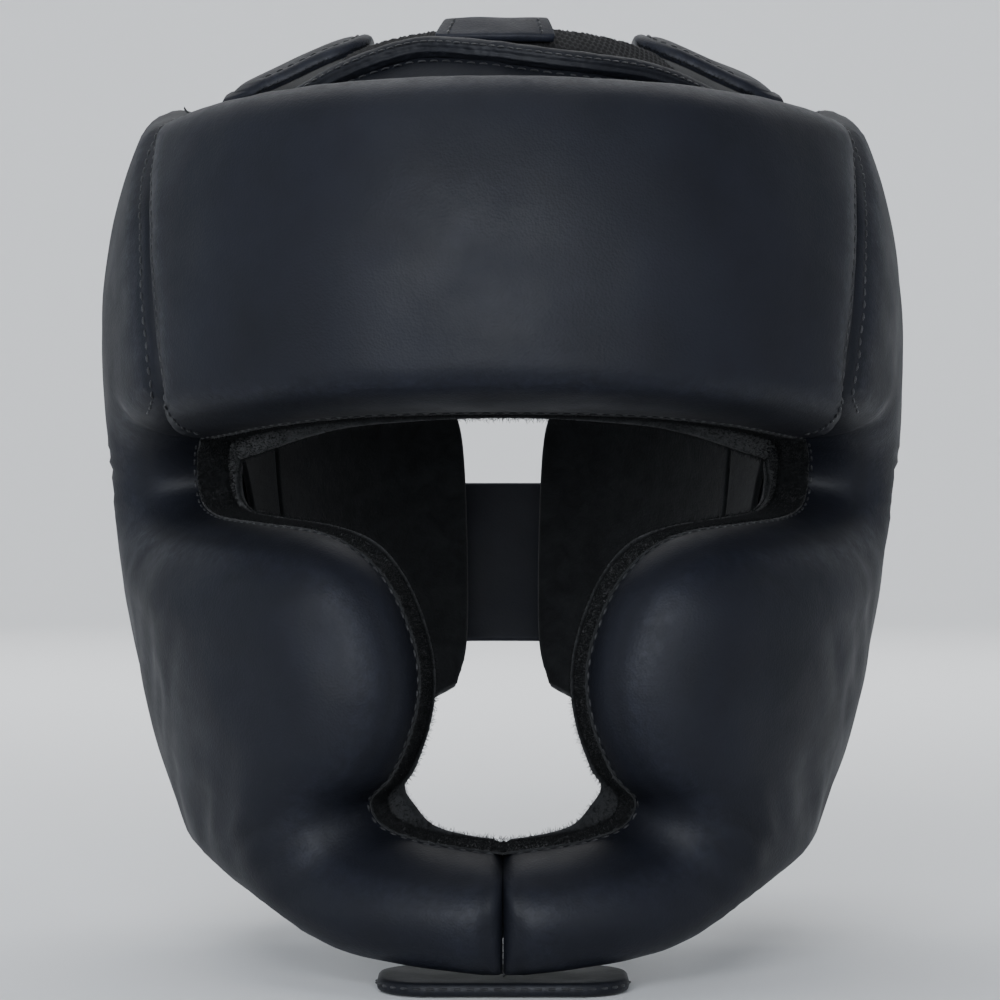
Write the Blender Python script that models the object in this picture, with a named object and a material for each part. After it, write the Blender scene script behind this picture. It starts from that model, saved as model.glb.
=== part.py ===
"""Full-face boxing headgear, built as separate sewn pieces.

Frame: metres, +Z up. The face opening looks along -Y, and +X is the wearer's left hand side,
on the right when the guard is seen from the front. The origin is the middle of the head space.

The guard wraps a smooth head form. A place on the form is an azimuth from the front in degrees
and a height in millimetres, and every pad is a patch of the form, drawn as a loop of smooth
runs, with a foam height above it. A run's third number is the height of the pad's side wall
there, so two pads that share a run meet in one valley.
"""
import math

import bmesh
import bpy
import numpy as np
from mathutils.geometry import delaunay_2d_cdt

MM = 0.001

# Head form, in millimetres
HALF_WIDTH = 82.0
FRONT_DEPTH = 100.0
BACK_DEPTH = 98.0
SECTION_POWER = 2.3         # a section's superellipse power
BROAD_LEVEL = 45.0          # height of the broadest section
CROWN_RISE = 95.0           # from there up to the crown
CROWN_POWER = 2.2
JAW_DROP = 129.0            # from there down to the jaw
JAW_NARROWING = 22.5        # how much each half width has lost at the jaw
NAPE_NARROWING = 22.0
CHIN_SHORTENING = 3.0
CHIN_POWER = 6

# Layers, in millimetres
GAP = 0.3                   # between neighbouring pieces
LEATHER = 1.2
LINING = 2.0
FOREHEAD_PAD = 32.0
SIDE_PAD = 32.0
WING_PAD = 20.0
NAPE_CLEARANCE = 1.4        # the wings fold here
HINGE_HEIGHT = 8.1          # the folding line's ends, above the head form
WEBBING = 2.0
PATCH = 1.0                 # hook or loop tape
TAPE_GAP = 0.7              # between a tape and what it closes on
STRAP = 2.2

# Mesh grain, in millimetres
EDGE_STEP = 9.0
GRID_STEP = 12.0
STRAIGHT_STEP = 7.0
RING = 3.5                  # a row of points this far inside each edge
ARC = math.pi * 95 / 180    # millimetres of arc for one degree of azimuth

# Edge profiles
CORNER_POWER = 4            # how sharply two shoulders meet
ROUND = 0                   # a quarter-round shoulder
FOLD = 1                    # a soft slope that leaves room to fold

# Shared runs on the wearer's left, as (azimuth, height, wall height, shoulder width)
TEMPLE_SEAM = [(63, 95.5, 20, 8), (57.5, 84, 26, 8), (52, 72, 28, 9), (48.8, 59, 28, 9),
               (46.8, 46, 28, 9), (45.5, 34, 27, 9), (46.2, 27, 23, 9), (51.5, 21.8, 16, 10),
               (61, 17.5, 8, 11)]
NAPE_SEAM = [(126, -70, 5, 24), (126, -40, 5, 24), (126, -10, 5, 24), (126, 20, 5, 24),
             (126, 48, 5, 24)]
CHIN_SEAM = [(0, -90.5, 9, 7), (0, -96, 23, 7), (0, -112, 24, 7), (0, -117.5, 10, 7)]

# Free edges, the same way
BROW_EDGE = [(61, 17.5, 8, 11), (50, 18.4, 5, 11), (36, 20.4, 4, 11), (20, 22.2, 4, 11),
             (0, 22.8, 4, 11)]
HAIRLINE_EDGE = [(0, 100.5, 8, 14), (30, 99.5, 8, 14), (52, 97.5, 12, 12), (63, 95.5, 20, 10)]
FACE_EDGE = [(61, 17.5, 8, 14), (66.5, 12, 8, 14), (68.5, 5, 8, 15), (63.5, -0.5, 8, 17),
             (54, -4, 7, 20), (40, -6, 6, 23), (28, -8, 7, 24), (21, -12, 9, 24),
             (16, -20, 10, 24), (12.6, -33, 10, 24), (11.2, -46, 10, 24),
             (12.2, -59, 10, 24), (15.4, -71, 8, 22), (19.6, -78, 6, 20),
             (18.4, -84.5, 5, 17), (12.5, -87.8, 6, 14), (6, -89.3, 8, 13), (0, -90.5, 9, 13)]
JAW_EDGE = [(0, -117.5, 10, 15), (18, -113, 10, 16), (34, -103.5, 8, 17), (50, -98, 7, 16),
            (70, -96, 6, 16), (90, -89, 6, 18), (108, -82, 6, 20), (126, -70, 5, 23)]
TEMPLE_TOP_EDGE = [(126, 48, 5, 20), (124, 64, 6, 20), (114, 81, 9, 18), (98, 91.5, 12, 15),
                   (80, 100, 20, 11), (63, 95.5, 20, 9)]
WING_NAPE_EDGE = [(126, -70, 5, 18), (140, -69, 5, 16), (160, -64, 5, 15), (170, -58, 5, 14)]
WING_BACK_EDGE = [(170, -58, 5, 14), (172.5, -44, 5, 14), (173, -10, 5, 14),
                  (172, 22, 5, 14), (168, 34, 5, 14)]
WING_TOP_EDGE = [(168, 34, 5, 14), (156, 40, 5, 15), (140, 46, 5, 16), (126, 48, 5, 18)]

# The lining shows inside the leather edge at the eye and chin corners
LINING_SEAM = [(61, 17.5), (57, 11)]
LINING_FACE_EDGE = [(57, 11), (60, 6.5), (60, 1), (53, -3), (40, -4.8),
                    (28, -6.8), (20.2, -11), (15.2, -20), (11.8, -33), (10.4, -46),
                    (11.4, -59), (14.2, -71), (16.4, -76), (14.5, -81), (11.5, -85.8),
                    (6, -88.2), (0, -89.5)]
LINING_BROW_EDGE = [(57, 11), (48, 12.4), (40, 14.4), (30, 17.6), (20, 19.8), (0, 21.4)]

# Ear opening, as the centre's azimuth and height, and its half width and half height
EAR_CENTRE = (101, -10)
EAR_HALF = (17, 25)
EAR_WALL, EAR_SHOULDER = 6.0, 13.0
EAR_HOLE_RADIUS = 1.7
EAR_HOLE_SPACING = 9.0

# Crown pieces
BINDING_LINE = [(-66, 100.5), (-50, 107.5), (-34, 115.5), (-20, 119.8), (-6, 119), (12, 115.8),
                (32, 113.4), (50, 108), (66, 101)]
BINDING_RADIUS = 3.2
BINDING_SIDES = 8
WEBBING_TOP = [(43, 122), (34, 124.8), (18, 127.2), (0, 127.6)]
WEBBING_FOOT = [(47, 114.5), (34, 119.2), (18, 123), (0, 123.2)]
CROWN_REST = 0.4            # the crown pieces' height above the form
PANEL_FOOT, PANEL_HEAD = 0.8, 3.4   # the front panel ends short of the pad and the binding
TAB_CENTRE = -2.0           # millimetres along X
TAB_WIDTH = 29.0
TAB_DEPTH = 58.0            # how far in front of the middle it lies
TAB_LOW, TAB_HIGH = 123.4, 127.2
FLAP_PROFILE = [(78, 112.6), (74, 114.8), (68, 118), (60, 121.6), (48, 127.2), (37, 130.6)]
FLAP_THICKNESS = 4.0
FLAP_FRONT, FLAP_REAR = -33.0, 24.0
FLAP_SAG = 0.0045           # how fast a flap falls towards its front and rear, per millimetre
FLAP_CORNER = 12.0
BAND_LOW, BAND_HIGH = 52.0, 74.0
BAND_START = 129.0          # azimuth of the rear band's ends

# Rear closure strap, azimuths counted through the back of the head
STRAP_SEWN = 150.0
STRAP_FREE = 209.0
STRAP_LOW, STRAP_HIGH = -40.0, 8.0
STRAP_CORNER = 8.0
HOOK_START, HOOK_END = STRAP_FREE - 15, STRAP_FREE - 2
LOOP_END = STRAP_FREE + 4
ANCHOR_START, ANCHOR_END = STRAP_SEWN + 1, STRAP_SEWN + 9
TAPE_MARGIN = 4.0           # from the strap's edge
TAPE_CORNER = 3.0

# Chin gusset
GUSSET_HALF_WIDTH = 33.0
GUSSET_FRONT, GUSSET_REAR = -113.0, -74.0
GUSSET_TOP, GUSSET_BOTTOM = -124.5, -128.0
GUSSET_CORNER = 14.0

COLOURS = {
    "leather": ((0.017, 0.019, 0.024, 1), 0.46),
    "suede": ((0.012, 0.013, 0.014, 1), 0.95),
    "foam": ((0.20, 0.20, 0.21, 1), 0.90),
    "webbing": ((0.010, 0.010, 0.011, 1), 0.85),
    "tape": ((0.014, 0.014, 0.015, 1), 0.98),
}


def clear_scene():
    for item in list(bpy.data.objects):
        bpy.data.objects.remove(item, do_unlink=True)


def make_materials():
    made = {}
    for name, (colour, roughness) in COLOURS.items():
        material = bpy.data.materials.new(name)
        material.use_nodes = True
        shader = material.node_tree.nodes["Principled BSDF"]
        shader.inputs["Base Color"].default_value = colour
        shader.inputs["Roughness"].default_value = roughness
        shader.inputs["Metallic"].default_value = 0.0
        made[name] = material
    return made


# ---------------------------------------------------------------- head form

def form_size(z):
    """Half width, front depth and back depth of the head form at the heights z."""
    above = np.clip((z - BROAD_LEVEL) / CROWN_RISE, 0, 0.999)
    below = np.clip((BROAD_LEVEL - z) / JAW_DROP, 0, None)
    closing = (1 - above ** CROWN_POWER) ** (1 / CROWN_POWER)
    width = (HALF_WIDTH - JAW_NARROWING * below ** 2) * closing
    front = (FRONT_DEPTH - CHIN_SHORTENING * below ** CHIN_POWER) * closing
    back = (BACK_DEPTH - NAPE_NARROWING * below ** 2) * closing
    return width, front, back


def form_point(azimuth, z):
    """Points of the head form, in millimetres."""
    width, front, back = form_size(z)
    side, along = np.sin(np.radians(azimuth)), np.cos(np.radians(azimuth))
    depth = np.where(along >= 0, front, back)
    reach = (np.abs(side / width) ** SECTION_POWER
             + np.abs(along / depth) ** SECTION_POWER) ** (-1 / SECTION_POWER)
    return np.stack([reach * side, -reach * along, z + 0 * reach], axis=-1)


def on_form(uv, height):
    """Points the given height above the form; uv holds azimuths and heights."""
    azimuth, z = uv[:, 0], uv[:, 1]
    step = 0.2
    east = form_point(azimuth + step, z) - form_point(azimuth - step, z)
    up = form_point(azimuth, z + step) - form_point(azimuth, z - step)
    normal = np.cross(east, up)
    normal /= np.linalg.norm(normal, axis=1)[:, None]
    return form_point(azimuth, z) + normal * np.reshape(height, (-1, 1))


# ---------------------------------------------------------------- outlines

def smooth(points, step):
    """A smooth curve through the points, with a sample about every step millimetres."""
    knots = np.array(points, float)
    scale = np.zeros(knots.shape[1])
    scale[:2] = ARC, 1
    padded = np.vstack([2 * knots[0] - knots[1], knots, 2 * knots[-1] - knots[-2]])
    fine = []
    for index in range(1, len(padded) - 2):
        a, b, c, d = padded[index - 1:index + 3]
        for t in np.linspace(0, 1, 12, endpoint=False):
            fine.append(0.5 * (2 * b + (c - a) * t + (2 * a - 5 * b + 4 * c - d) * t * t
                               + (3 * b - a - 3 * c + d) * t ** 3))
    fine = np.array(fine + [knots[-1]])
    lengths = np.linalg.norm(np.diff(fine * scale, axis=0), axis=1)
    travelled = np.concatenate([[0], np.cumsum(lengths)])
    count = max(2, round(travelled[-1] / step) + 1)
    wanted = np.linspace(0, travelled[-1], count)
    return np.stack([np.interp(wanted, travelled, column) for column in fine.T], axis=1)


def mirrored(points):
    """The same run on the other side, travelled the other way."""
    return [(-azimuth, *rest) for azimuth, *rest in reversed(points)]


def oval(centre, half, count):
    """A closed loop around an opening, travelled clockwise as seen from outside."""
    turns = np.linspace(0, -2 * math.pi, count, endpoint=False)
    azimuth = centre[0] + half[0] / ARC * np.cos(turns)
    return np.stack([azimuth, centre[1] + half[1] * np.sin(turns)], axis=1)


class Run:
    """One stretch of a pad's edge: its samples, how its shoulder falls and its clearance."""

    def __init__(self, points, profile=ROUND, inset=GAP):
        self.samples = smooth(points, EDGE_STEP) if isinstance(points, list) else points
        self.profile = profile
        self.inset = inset

    def deficit(self, uv, thickness):
        """How far below its full thickness this edge keeps the pad at the places uv."""
        here = on_form(uv, np.zeros(len(uv)))
        edge = on_form(self.samples, np.zeros(len(self.samples)))
        start, span = edge[:-1], np.diff(edge, axis=0)
        away = here[:, None, :] - start[None]
        share = np.clip((away * span).sum(-1) / (span * span).sum(-1), 0, 1)
        distance = np.linalg.norm(away - share[..., None] * span, axis=-1)
        nearest = distance.argmin(axis=1)
        rows = np.arange(len(uv))
        along = share[rows, nearest][:, None]
        wall, shoulder = (self.samples[nearest, 2:] * (1 - along)
                          + self.samples[nearest + 1, 2:] * along).T
        left = 1 - np.clip(distance[rows, nearest] / shoulder, 0, 1)
        fall = left ** 2 if self.profile == FOLD else 1 - np.sqrt(1 - left ** 2)
        return (thickness - wall) * fall


def pad_height(runs, thickness):
    """A function that gives the pad's height at places on the form."""
    def height(uv):
        drops = [run.deficit(uv, thickness) for run in runs]
        return thickness - sum(drop ** CORNER_POWER for drop in drops) ** (1 / CORNER_POWER)
    return height


def inset_loop(loop, insets):
    """The loop's points moved to the left of their direction of travel."""
    flat = loop[:, :2] * (ARC, 1)
    ahead = np.roll(flat, -1, axis=0) - np.roll(flat, 1, axis=0)
    ahead /= np.linalg.norm(ahead, axis=1)[:, None]
    left = np.stack([-ahead[:, 1], ahead[:, 0]], axis=1)
    return (flat + left * np.reshape(insets, (-1, 1))) / (ARC, 1)


def joined(runs):
    """The runs end to end as one loop, with each point's inset."""
    points = np.vstack([run.samples[:-1, :2] for run in runs])
    insets = np.concatenate([[run.inset] * (len(run.samples) - 1) for run in runs])
    return inset_loop(points, insets)


# ---------------------------------------------------------------- patches and solids

def inside(points, loop):
    """Which points lie inside the closed loop."""
    x, y = points[:, 0][:, None], points[:, 1][:, None]
    x1, y1 = loop[:, 0], loop[:, 1]
    x2, y2 = np.roll(x1, -1), np.roll(y1, -1)
    crosses = (y1 > y) != (y2 > y)
    with np.errstate(divide="ignore", invalid="ignore"):
        at = x1 + (y - y1) * (x2 - x1) / (y2 - y1)
    return (crosses & (x < at)).sum(axis=1) % 2 == 1


def clearance(points, loops):
    """Distance from each point to the nearest loop."""
    nearest = np.full(len(points), np.inf)
    for loop in loops:
        start = loop
        span = np.roll(loop, -1, axis=0) - loop
        away = points[:, None, :] - start[None]
        share = np.clip((away * span).sum(-1) / (span * span).sum(-1), 0, 1)
        nearest = np.minimum(nearest, np.linalg.norm(away - share[..., None] * span,
                                                     axis=-1).min(axis=1))
    return nearest


class Patch:
    """A triangulated region. Loops keep the region on their left; the first one is the rim."""

    def __init__(self, loops, metric=(ARC, 1), grid=GRID_STEP, ring=RING):
        flat = [loop[:, :2] * metric for loop in loops]
        inner = [inset_loop(loop, np.full(len(loop), ring)) * metric for loop in loops] \
            if ring else []
        low, high = flat[0].min(axis=0), flat[0].max(axis=0)
        columns = np.arange(low[0] + grid / 2, high[0], grid)
        rows = np.arange(low[1] + grid / 2, high[1], grid * 0.87)
        seeds = [(x + (row % 2) * grid / 2, y) for row, y in enumerate(rows) for x in columns]
        seeds = np.array(seeds).reshape(-1, 2)
        seeds = seeds[self.holds(seeds, flat)] if len(seeds) else seeds
        if len(seeds):
            seeds = seeds[clearance(seeds, flat) > (ring + grid * 0.45)]
        rings = np.vstack(inner) if inner else np.empty((0, 2))
        if len(rings):
            rings = rings[self.holds(rings, flat)]
            rings = rings[clearance(rings, flat) > ring * 0.8]
        points = np.vstack(flat + [rings, seeds])
        edges, first = [], 0
        for loop in flat:
            count = len(loop)
            edges += [(first + i, first + (i + 1) % count) for i in range(count)]
            first += count
        self.rim_count = first
        result = delaunay_2d_cdt([tuple(p) for p in points], edges, [], 0, 1e-6, True)
        source = [ids[0] for ids in result[3]]
        faces = [[source[i] for i in face] for face in result[2]]
        centres = np.array([points[face].mean(axis=0) for face in faces])
        keep = self.holds(centres, flat)
        self.faces = [face for face, kept in zip(faces, keep) if kept]
        self.uv = points / metric
        self.rim_edges = edges

    @staticmethod
    def holds(points, loops):
        found = inside(points, loops[0])
        for hole in loops[1:]:
            found &= ~inside(points, hole)
        return found


def add_object(name, vertices, faces, material, pivot=None):
    """A named object from points in millimetres; its origin is at the pivot, in millimetres."""
    origin = np.array(pivot if pivot is not None else (0, 0, 0), float)
    mesh = bpy.data.meshes.new(name)
    mesh.from_pydata([tuple(v) for v in (np.asarray(vertices) - origin) * MM], [], faces)
    work = bmesh.new()
    work.from_mesh(mesh)
    loose = [v for v in work.verts if not v.link_faces]
    bmesh.ops.delete(work, geom=loose, context="VERTS")
    bmesh.ops.recalc_face_normals(work, faces=work.faces)
    work.to_mesh(mesh)
    work.free()
    mesh.shade_smooth()
    mesh.materials.append(MATERIALS[material])
    item = bpy.data.objects.new(name, mesh)
    item.location = origin * MM
    bpy.context.scene.collection.objects.link(item)
    return item


def plate(name, patch, low, high, material, place=on_form, pivot=None):
    """A solid between two heights over a patch."""
    count = len(patch.uv)
    top = place(patch.uv, high(patch.uv) if callable(high) else np.full(count, high))
    base = place(patch.uv, low(patch.uv) if callable(low) else np.full(count, low))
    faces = [list(face) for face in patch.faces]
    faces += [[i + count for i in reversed(face)] for face in patch.faces]
    faces += [[a + count, b + count, b, a] for a, b in patch.rim_edges]
    return add_object(name, np.vstack([top, base]), faces, material, pivot)


def bowl(patch, height):
    """The outside of a pad: its top and its side walls, open at the head side."""
    count = len(patch.uv)
    heights = height(patch.uv)
    top = on_form(patch.uv, heights)
    foot = on_form(patch.uv[:patch.rim_count], np.zeros(patch.rim_count))
    faces = [list(face) for face in patch.faces]
    faces += [[a + count, b + count, b, a] for a, b in patch.rim_edges]
    return np.vstack([top, foot]), faces


def inward(vertices, faces, distance):
    """The surface moved inward by an even distance."""
    work = bmesh.new()
    made = [work.verts.new(v) for v in vertices]
    for face in faces:
        work.faces.new([made[i] for i in face])
    work.normal_update()
    moved = [v.co - v.normal * min(v.calc_shell_factor(), 2) * distance for v in made]
    work.free()
    return np.array([tuple(v) for v in moved])


def cover_and_foam(name, patch, height, pivot=None):
    """A pad's leather cover, open at the head side, and the foam block that fills it."""
    outer, skin = bowl(patch, height)
    inner = inward(outer, skin, LEATHER)
    total, count = len(outer), len(patch.uv)
    faces = list(skin)
    faces += [[i + total for i in reversed(face)] for face in skin]
    faces += [[a + count, a + count + total, b + count + total, b + count]
              for a, b in patch.rim_edges]
    cover = add_object(name + "_cover", np.vstack([outer, inner]), faces, "leather", pivot)
    block = inward(outer, skin, LEATHER + 2 * GAP)
    floor = on_form(patch.uv[patch.rim_count:], np.full(count - patch.rim_count, GAP))
    below = {i: i + count for i in range(patch.rim_count)}
    below.update({i: total + i - patch.rim_count for i in range(patch.rim_count, count)})
    faces = list(skin) + [[below[i] for i in reversed(face)] for face in patch.faces]
    foam = add_object(name + "_foam", np.vstack([block, floor]), faces, "foam", pivot)
    return cover, foam


def mirror_patch(loops):
    """The loops on the other side of the head."""
    return [loop[::-1] * (-1, 1) for loop in loops]


MATERIALS = {}


# ---------------------------------------------------------------- pads

def across(half):
    """A run over the middle of the front, from its half that starts at the middle."""
    return mirrored(half[1:]) + half


def make_forehead():
    """The brow pad, one broad panel between the temple seams."""
    runs = [
        Run(TEMPLE_SEAM[::-1]),
        Run(across(HAIRLINE_EDGE)[::-1]),
        Run(mirrored(TEMPLE_SEAM[::-1])),
        Run(across(BROW_EDGE[::-1])),
    ]
    patch = Patch([joined(runs)])
    cover_and_foam("forehead", patch, pad_height(runs, FOREHEAD_PAD))
    lining_runs = runs[:3] + [Run(mirrored(LINING_SEAM[::-1])),
                              Run(across(LINING_BROW_EDGE[::-1])), Run(LINING_SEAM[::-1])]
    lining("forehead_lining", [joined(lining_runs)])


def lining(name, loops, pivot=None):
    """The suede sheet between a pad and the head."""
    plate(name, Patch(loops, ring=0), -LINING - 2 * GAP, -2 * GAP, "suede", pivot=pivot)


def side_runs():
    """The edge of the side pad on the wearer's left, all the way round."""
    return [
        Run(JAW_EDGE),
        Run(NAPE_SEAM, FOLD),
        Run(TEMPLE_TOP_EDGE),
        Run(TEMPLE_SEAM),
        Run(FACE_EDGE),
        Run(CHIN_SEAM),
    ]


def flip(runs):
    """The runs of the other side, in their travelling order."""
    turned = []
    for run in reversed(runs):
        samples = run.samples[::-1].copy()
        samples[:, 0] *= -1
        turned.append(Run(samples, run.profile, run.inset))
    return turned


def ear_run():
    """The ear opening's edge."""
    loop = oval(EAR_CENTRE, EAR_HALF, 16)
    edge = np.tile((EAR_WALL, EAR_SHOULDER), (len(loop) + 1, 1))
    return Run(np.hstack([np.vstack([loop, loop[:1]]), edge]))


def make_side(side, sign):
    """A side pad: temple, cheek and half of the chin in one piece, with an ear opening."""
    runs, ear = side_runs(), ear_run()
    sheet = runs[:4] + [Run(LINING_SEAM), Run(LINING_FACE_EDGE), runs[5]]
    if sign < 0:
        runs, sheet, ear = flip(runs), flip(sheet), flip([ear])[0]
    opening = inset_loop(ear.samples[:-1], np.full(len(ear.samples) - 1, GAP))
    height = pad_height(runs + [ear], SIDE_PAD)
    cover_and_foam(side + "_side", Patch([joined(runs), opening]), height)
    lining(side + "_side_lining", [joined(sheet), opening])
    make_ear_cup(side, sign)


def make_ear_cup(side, sign):
    """The perforated leather shield that closes the ear opening."""
    half = (EAR_HALF[0] - 2 * GAP, EAR_HALF[1] - 2 * GAP)
    rim = oval(EAR_CENTRE, half, 16)[::-1, :2]
    loops = [rim]
    for column in (-1, 0, 1):
        for row in (-1, 0, 1):
            middle = (EAR_CENTRE[0] + column * EAR_HOLE_SPACING / ARC,
                      EAR_CENTRE[1] + row * EAR_HOLE_SPACING)
            loops.append(oval(middle, (EAR_HOLE_RADIUS, EAR_HOLE_RADIUS), 6)[:, :2])
    if sign < 0:
        loops = mirror_patch(loops)
    plate(side + "_ear_cup", Patch(loops, ring=0), GAP, GAP + 2 * LEATHER, "leather")


def wing_runs():
    """The edge of the rear wing on the wearer's left."""
    return [
        Run(WING_NAPE_EDGE),
        Run(WING_BACK_EDGE),
        Run(WING_TOP_EDGE),
        Run(NAPE_SEAM[::-1], FOLD, NAPE_CLEARANCE),
    ]


def hinge_point(sign):
    """The middle of a wing's folding line."""
    ends = np.array([NAPE_SEAM[0][:2], NAPE_SEAM[-1][:2]]) * (sign, 1)
    return on_form(ends, np.full(2, HINGE_HEIGHT)).mean(axis=0)


def make_wing(side, sign):
    """A rear wing, which folds outward along the nape seam."""
    runs = wing_runs() if sign > 0 else flip(wing_runs())
    pivot = hinge_point(sign)
    patch = Patch([joined(runs)])
    cover_and_foam(side + "_wing", patch, pad_height(runs, WING_PAD), pivot)
    lining(side + "_wing_lining", [joined(runs)], pivot)


# ---------------------------------------------------------------- rear closure

def rounded_box(low, high, corner, metric):
    """A closed loop with round corners, counter-clockwise."""
    points = []
    for quarter in range(4):
        right, top = quarter in (0, 3), quarter in (0, 1)
        centre_x = high[0] - corner / metric[0] if right else low[0] + corner / metric[0]
        centre_y = high[1] - corner if top else low[1] + corner
        for step in range(4):
            turn = math.radians(90 * quarter + 30 * step)
            points.append((centre_x + corner / metric[0] * math.cos(turn),
                           centre_y + corner * math.sin(turn)))
    return refined(np.array(points), metric)


def refined(loop, metric):
    """The closed loop with extra points along its long straight sides."""
    points = []
    for here, ahead in zip(loop, np.roll(loop, -1, axis=0)):
        pieces = max(1, round(np.linalg.norm((ahead - here) * metric) / STRAIGHT_STEP))
        points += [here + (ahead - here) * k / pieces for k in range(pieces)]
    return np.array(points)


def make_rear_closure():
    """The hook-and-loop strap that crosses the back from wing to wing."""
    metric = (ARC, 1)
    under = WING_PAD + TAPE_GAP
    hook_low = under + PATCH + TAPE_GAP
    strap_low = hook_low + PATCH + TAPE_GAP
    pivot = on_form(np.array([[STRAP_SEWN, (STRAP_LOW + STRAP_HIGH) / 2]]),
                    [strap_low + STRAP / 2])[0]
    strap = rounded_box((STRAP_SEWN, STRAP_LOW), (STRAP_FREE, STRAP_HIGH), STRAP_CORNER, metric)
    plate("rear_strap", Patch([strap], ring=0), strap_low, strap_low + STRAP, "leather",
          pivot=pivot)
    hook = rounded_box((HOOK_START, STRAP_LOW + TAPE_MARGIN),
                       (HOOK_END, STRAP_HIGH - TAPE_MARGIN), TAPE_CORNER, metric)
    plate("rear_hook_tape", Patch([hook], ring=0), hook_low, hook_low + PATCH, "tape",
          pivot=pivot)
    loop = rounded_box((HOOK_START, STRAP_LOW), (LOOP_END, STRAP_HIGH), TAPE_CORNER, metric)
    plate("rear_loop_tape", Patch([loop], ring=0), under, under + PATCH, "tape",
          pivot=hinge_point(-1))
    anchor = rounded_box((ANCHOR_START, STRAP_LOW + TAPE_MARGIN),
                         (ANCHOR_END, STRAP_HIGH - TAPE_MARGIN), TAPE_CORNER, metric)
    plate("rear_strap_anchor", Patch([anchor], ring=0), under, strap_low - TAPE_GAP, "leather",
          pivot=hinge_point(1))


# ---------------------------------------------------------------- crown

def tube(name, line, radius, sides, material):
    """A round tube along points in millimetres, with flat ends."""
    ahead = np.gradient(line, axis=0)
    ahead /= np.linalg.norm(ahead, axis=1)[:, None]
    out = line / np.linalg.norm(line, axis=1)[:, None]
    side = np.cross(ahead, out)
    side /= np.linalg.norm(side, axis=1)[:, None]
    out = np.cross(side, ahead)
    vertices = []
    for turn in np.linspace(0, 2 * math.pi, sides, endpoint=False):
        vertices.append(line + radius * (math.cos(turn) * out + math.sin(turn) * side))
    rings = len(line)
    faces = []
    for i in range(sides):
        j = (i + 1) % sides
        faces += [[i * rings + k, j * rings + k, j * rings + k + 1, i * rings + k + 1]
                  for k in range(rings - 1)]
    faces.append([i * rings for i in range(sides)])
    faces.append([i * rings + rings - 1 for i in range(sides)])
    return add_object(name, np.vstack(vertices), faces, material)


def make_crown_front():
    """The thin panel above the brow pad, its rolled binding and the webbing behind it."""
    line = smooth(BINDING_LINE, 8)
    tube("crown_binding", on_form(line, np.full(len(line), BINDING_RADIUS + GAP)),
         BINDING_RADIUS, BINDING_SIDES, "leather")
    foot = smooth([(a, z + PANEL_FOOT) for a, z, *_ in across(HAIRLINE_EDGE[:-1])],
                  EDGE_STEP)
    head = smooth([(a, z - PANEL_HEAD) for a, z in BINDING_LINE[-2:0:-1]], EDGE_STEP)
    plate("crown_front_panel", Patch([np.vstack([foot, head])], ring=0), CROWN_REST,
          CROWN_REST + LEATHER, "leather")
    foot = smooth(across(WEBBING_FOOT[::-1]), EDGE_STEP)
    head = smooth(across(WEBBING_TOP[::-1])[::-1], EDGE_STEP)
    plate("crown_webbing", Patch([np.vstack([foot, head])], ring=0), CROWN_REST,
          CROWN_REST + WEBBING, "webbing")


def make_crown_tab():
    """The leather keeper around the middle of the webbing."""
    left = math.degrees(math.atan((TAB_CENTRE - TAB_WIDTH / 2) / TAB_DEPTH))
    right = math.degrees(math.atan((TAB_CENTRE + TAB_WIDTH / 2) / TAB_DEPTH))
    loop = rounded_box((left, TAB_LOW), (right, TAB_HIGH), 1.5, (ARC, 1))
    lower = CROWN_REST + WEBBING + 3 * GAP
    plate("crown_tab", Patch([loop], ring=0), lower, lower + 2 * LEATHER, "leather")


def flap_place(sign):
    """Where a crown flap's points lie: uv are distances from the middle and along Y."""
    profile = np.array(sorted(FLAP_PROFILE), float)

    def place(uv, height):
        away, along = np.abs(uv[:, 0]), uv[:, 1]
        z = np.interp(away, profile[:, 0], profile[:, 1]) - FLAP_SAG * along ** 2
        step = 1.0
        slope = (np.interp(away + step, profile[:, 0], profile[:, 1])
                 - np.interp(away - step, profile[:, 0], profile[:, 1])) / (2 * step)
        norm = np.sqrt(1 + slope ** 2)
        return np.stack([sign * (away - slope / norm * height), along,
                         z + height / norm], axis=1)
    return place


def make_crown_flap(side, sign):
    """A padded flap from the side pad's top towards the crown."""
    profile = sorted(FLAP_PROFILE)
    low = (profile[0][0], FLAP_FRONT)
    high = (profile[-1][0], FLAP_REAR)
    loop = rounded_box(low, high, FLAP_CORNER, (1, 1))
    loop[loop[:, 0] > high[0] - FLAP_CORNER, 0] = high[0]
    loop = loop if sign > 0 else loop[::-1] * (-1, 1)
    pivot = (sign * high[0], 0, profile[-1][1])
    plate(side + "_crown_flap", Patch([loop], metric=(1, 1), ring=0), 0.0, FLAP_THICKNESS,
          "leather", place=flap_place(sign), pivot=pivot)


def make_rear_band():
    """The band that joins the side pads behind the head, above the wings."""
    loop = rounded_box((BAND_START, BAND_LOW), (360 - BAND_START, BAND_HIGH), 3, (ARC, 1))
    plate("rear_crown_band", Patch([loop], ring=0), CROWN_REST,
          CROWN_REST + WEBBING, "webbing")


# ---------------------------------------------------------------- chin

def make_chin_gusset():
    """The flat panel that closes the chin cup underneath."""
    loop = rounded_box((-GUSSET_HALF_WIDTH, GUSSET_FRONT), (GUSSET_HALF_WIDTH, GUSSET_REAR),
                       GUSSET_CORNER, (1, 1))

    def place(uv, height):
        return np.stack([uv[:, 0], uv[:, 1], height], axis=1)
    plate("chin_gusset", Patch([loop], metric=(1, 1), ring=0), GUSSET_BOTTOM, GUSSET_TOP,
          "leather", place=place)


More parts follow.
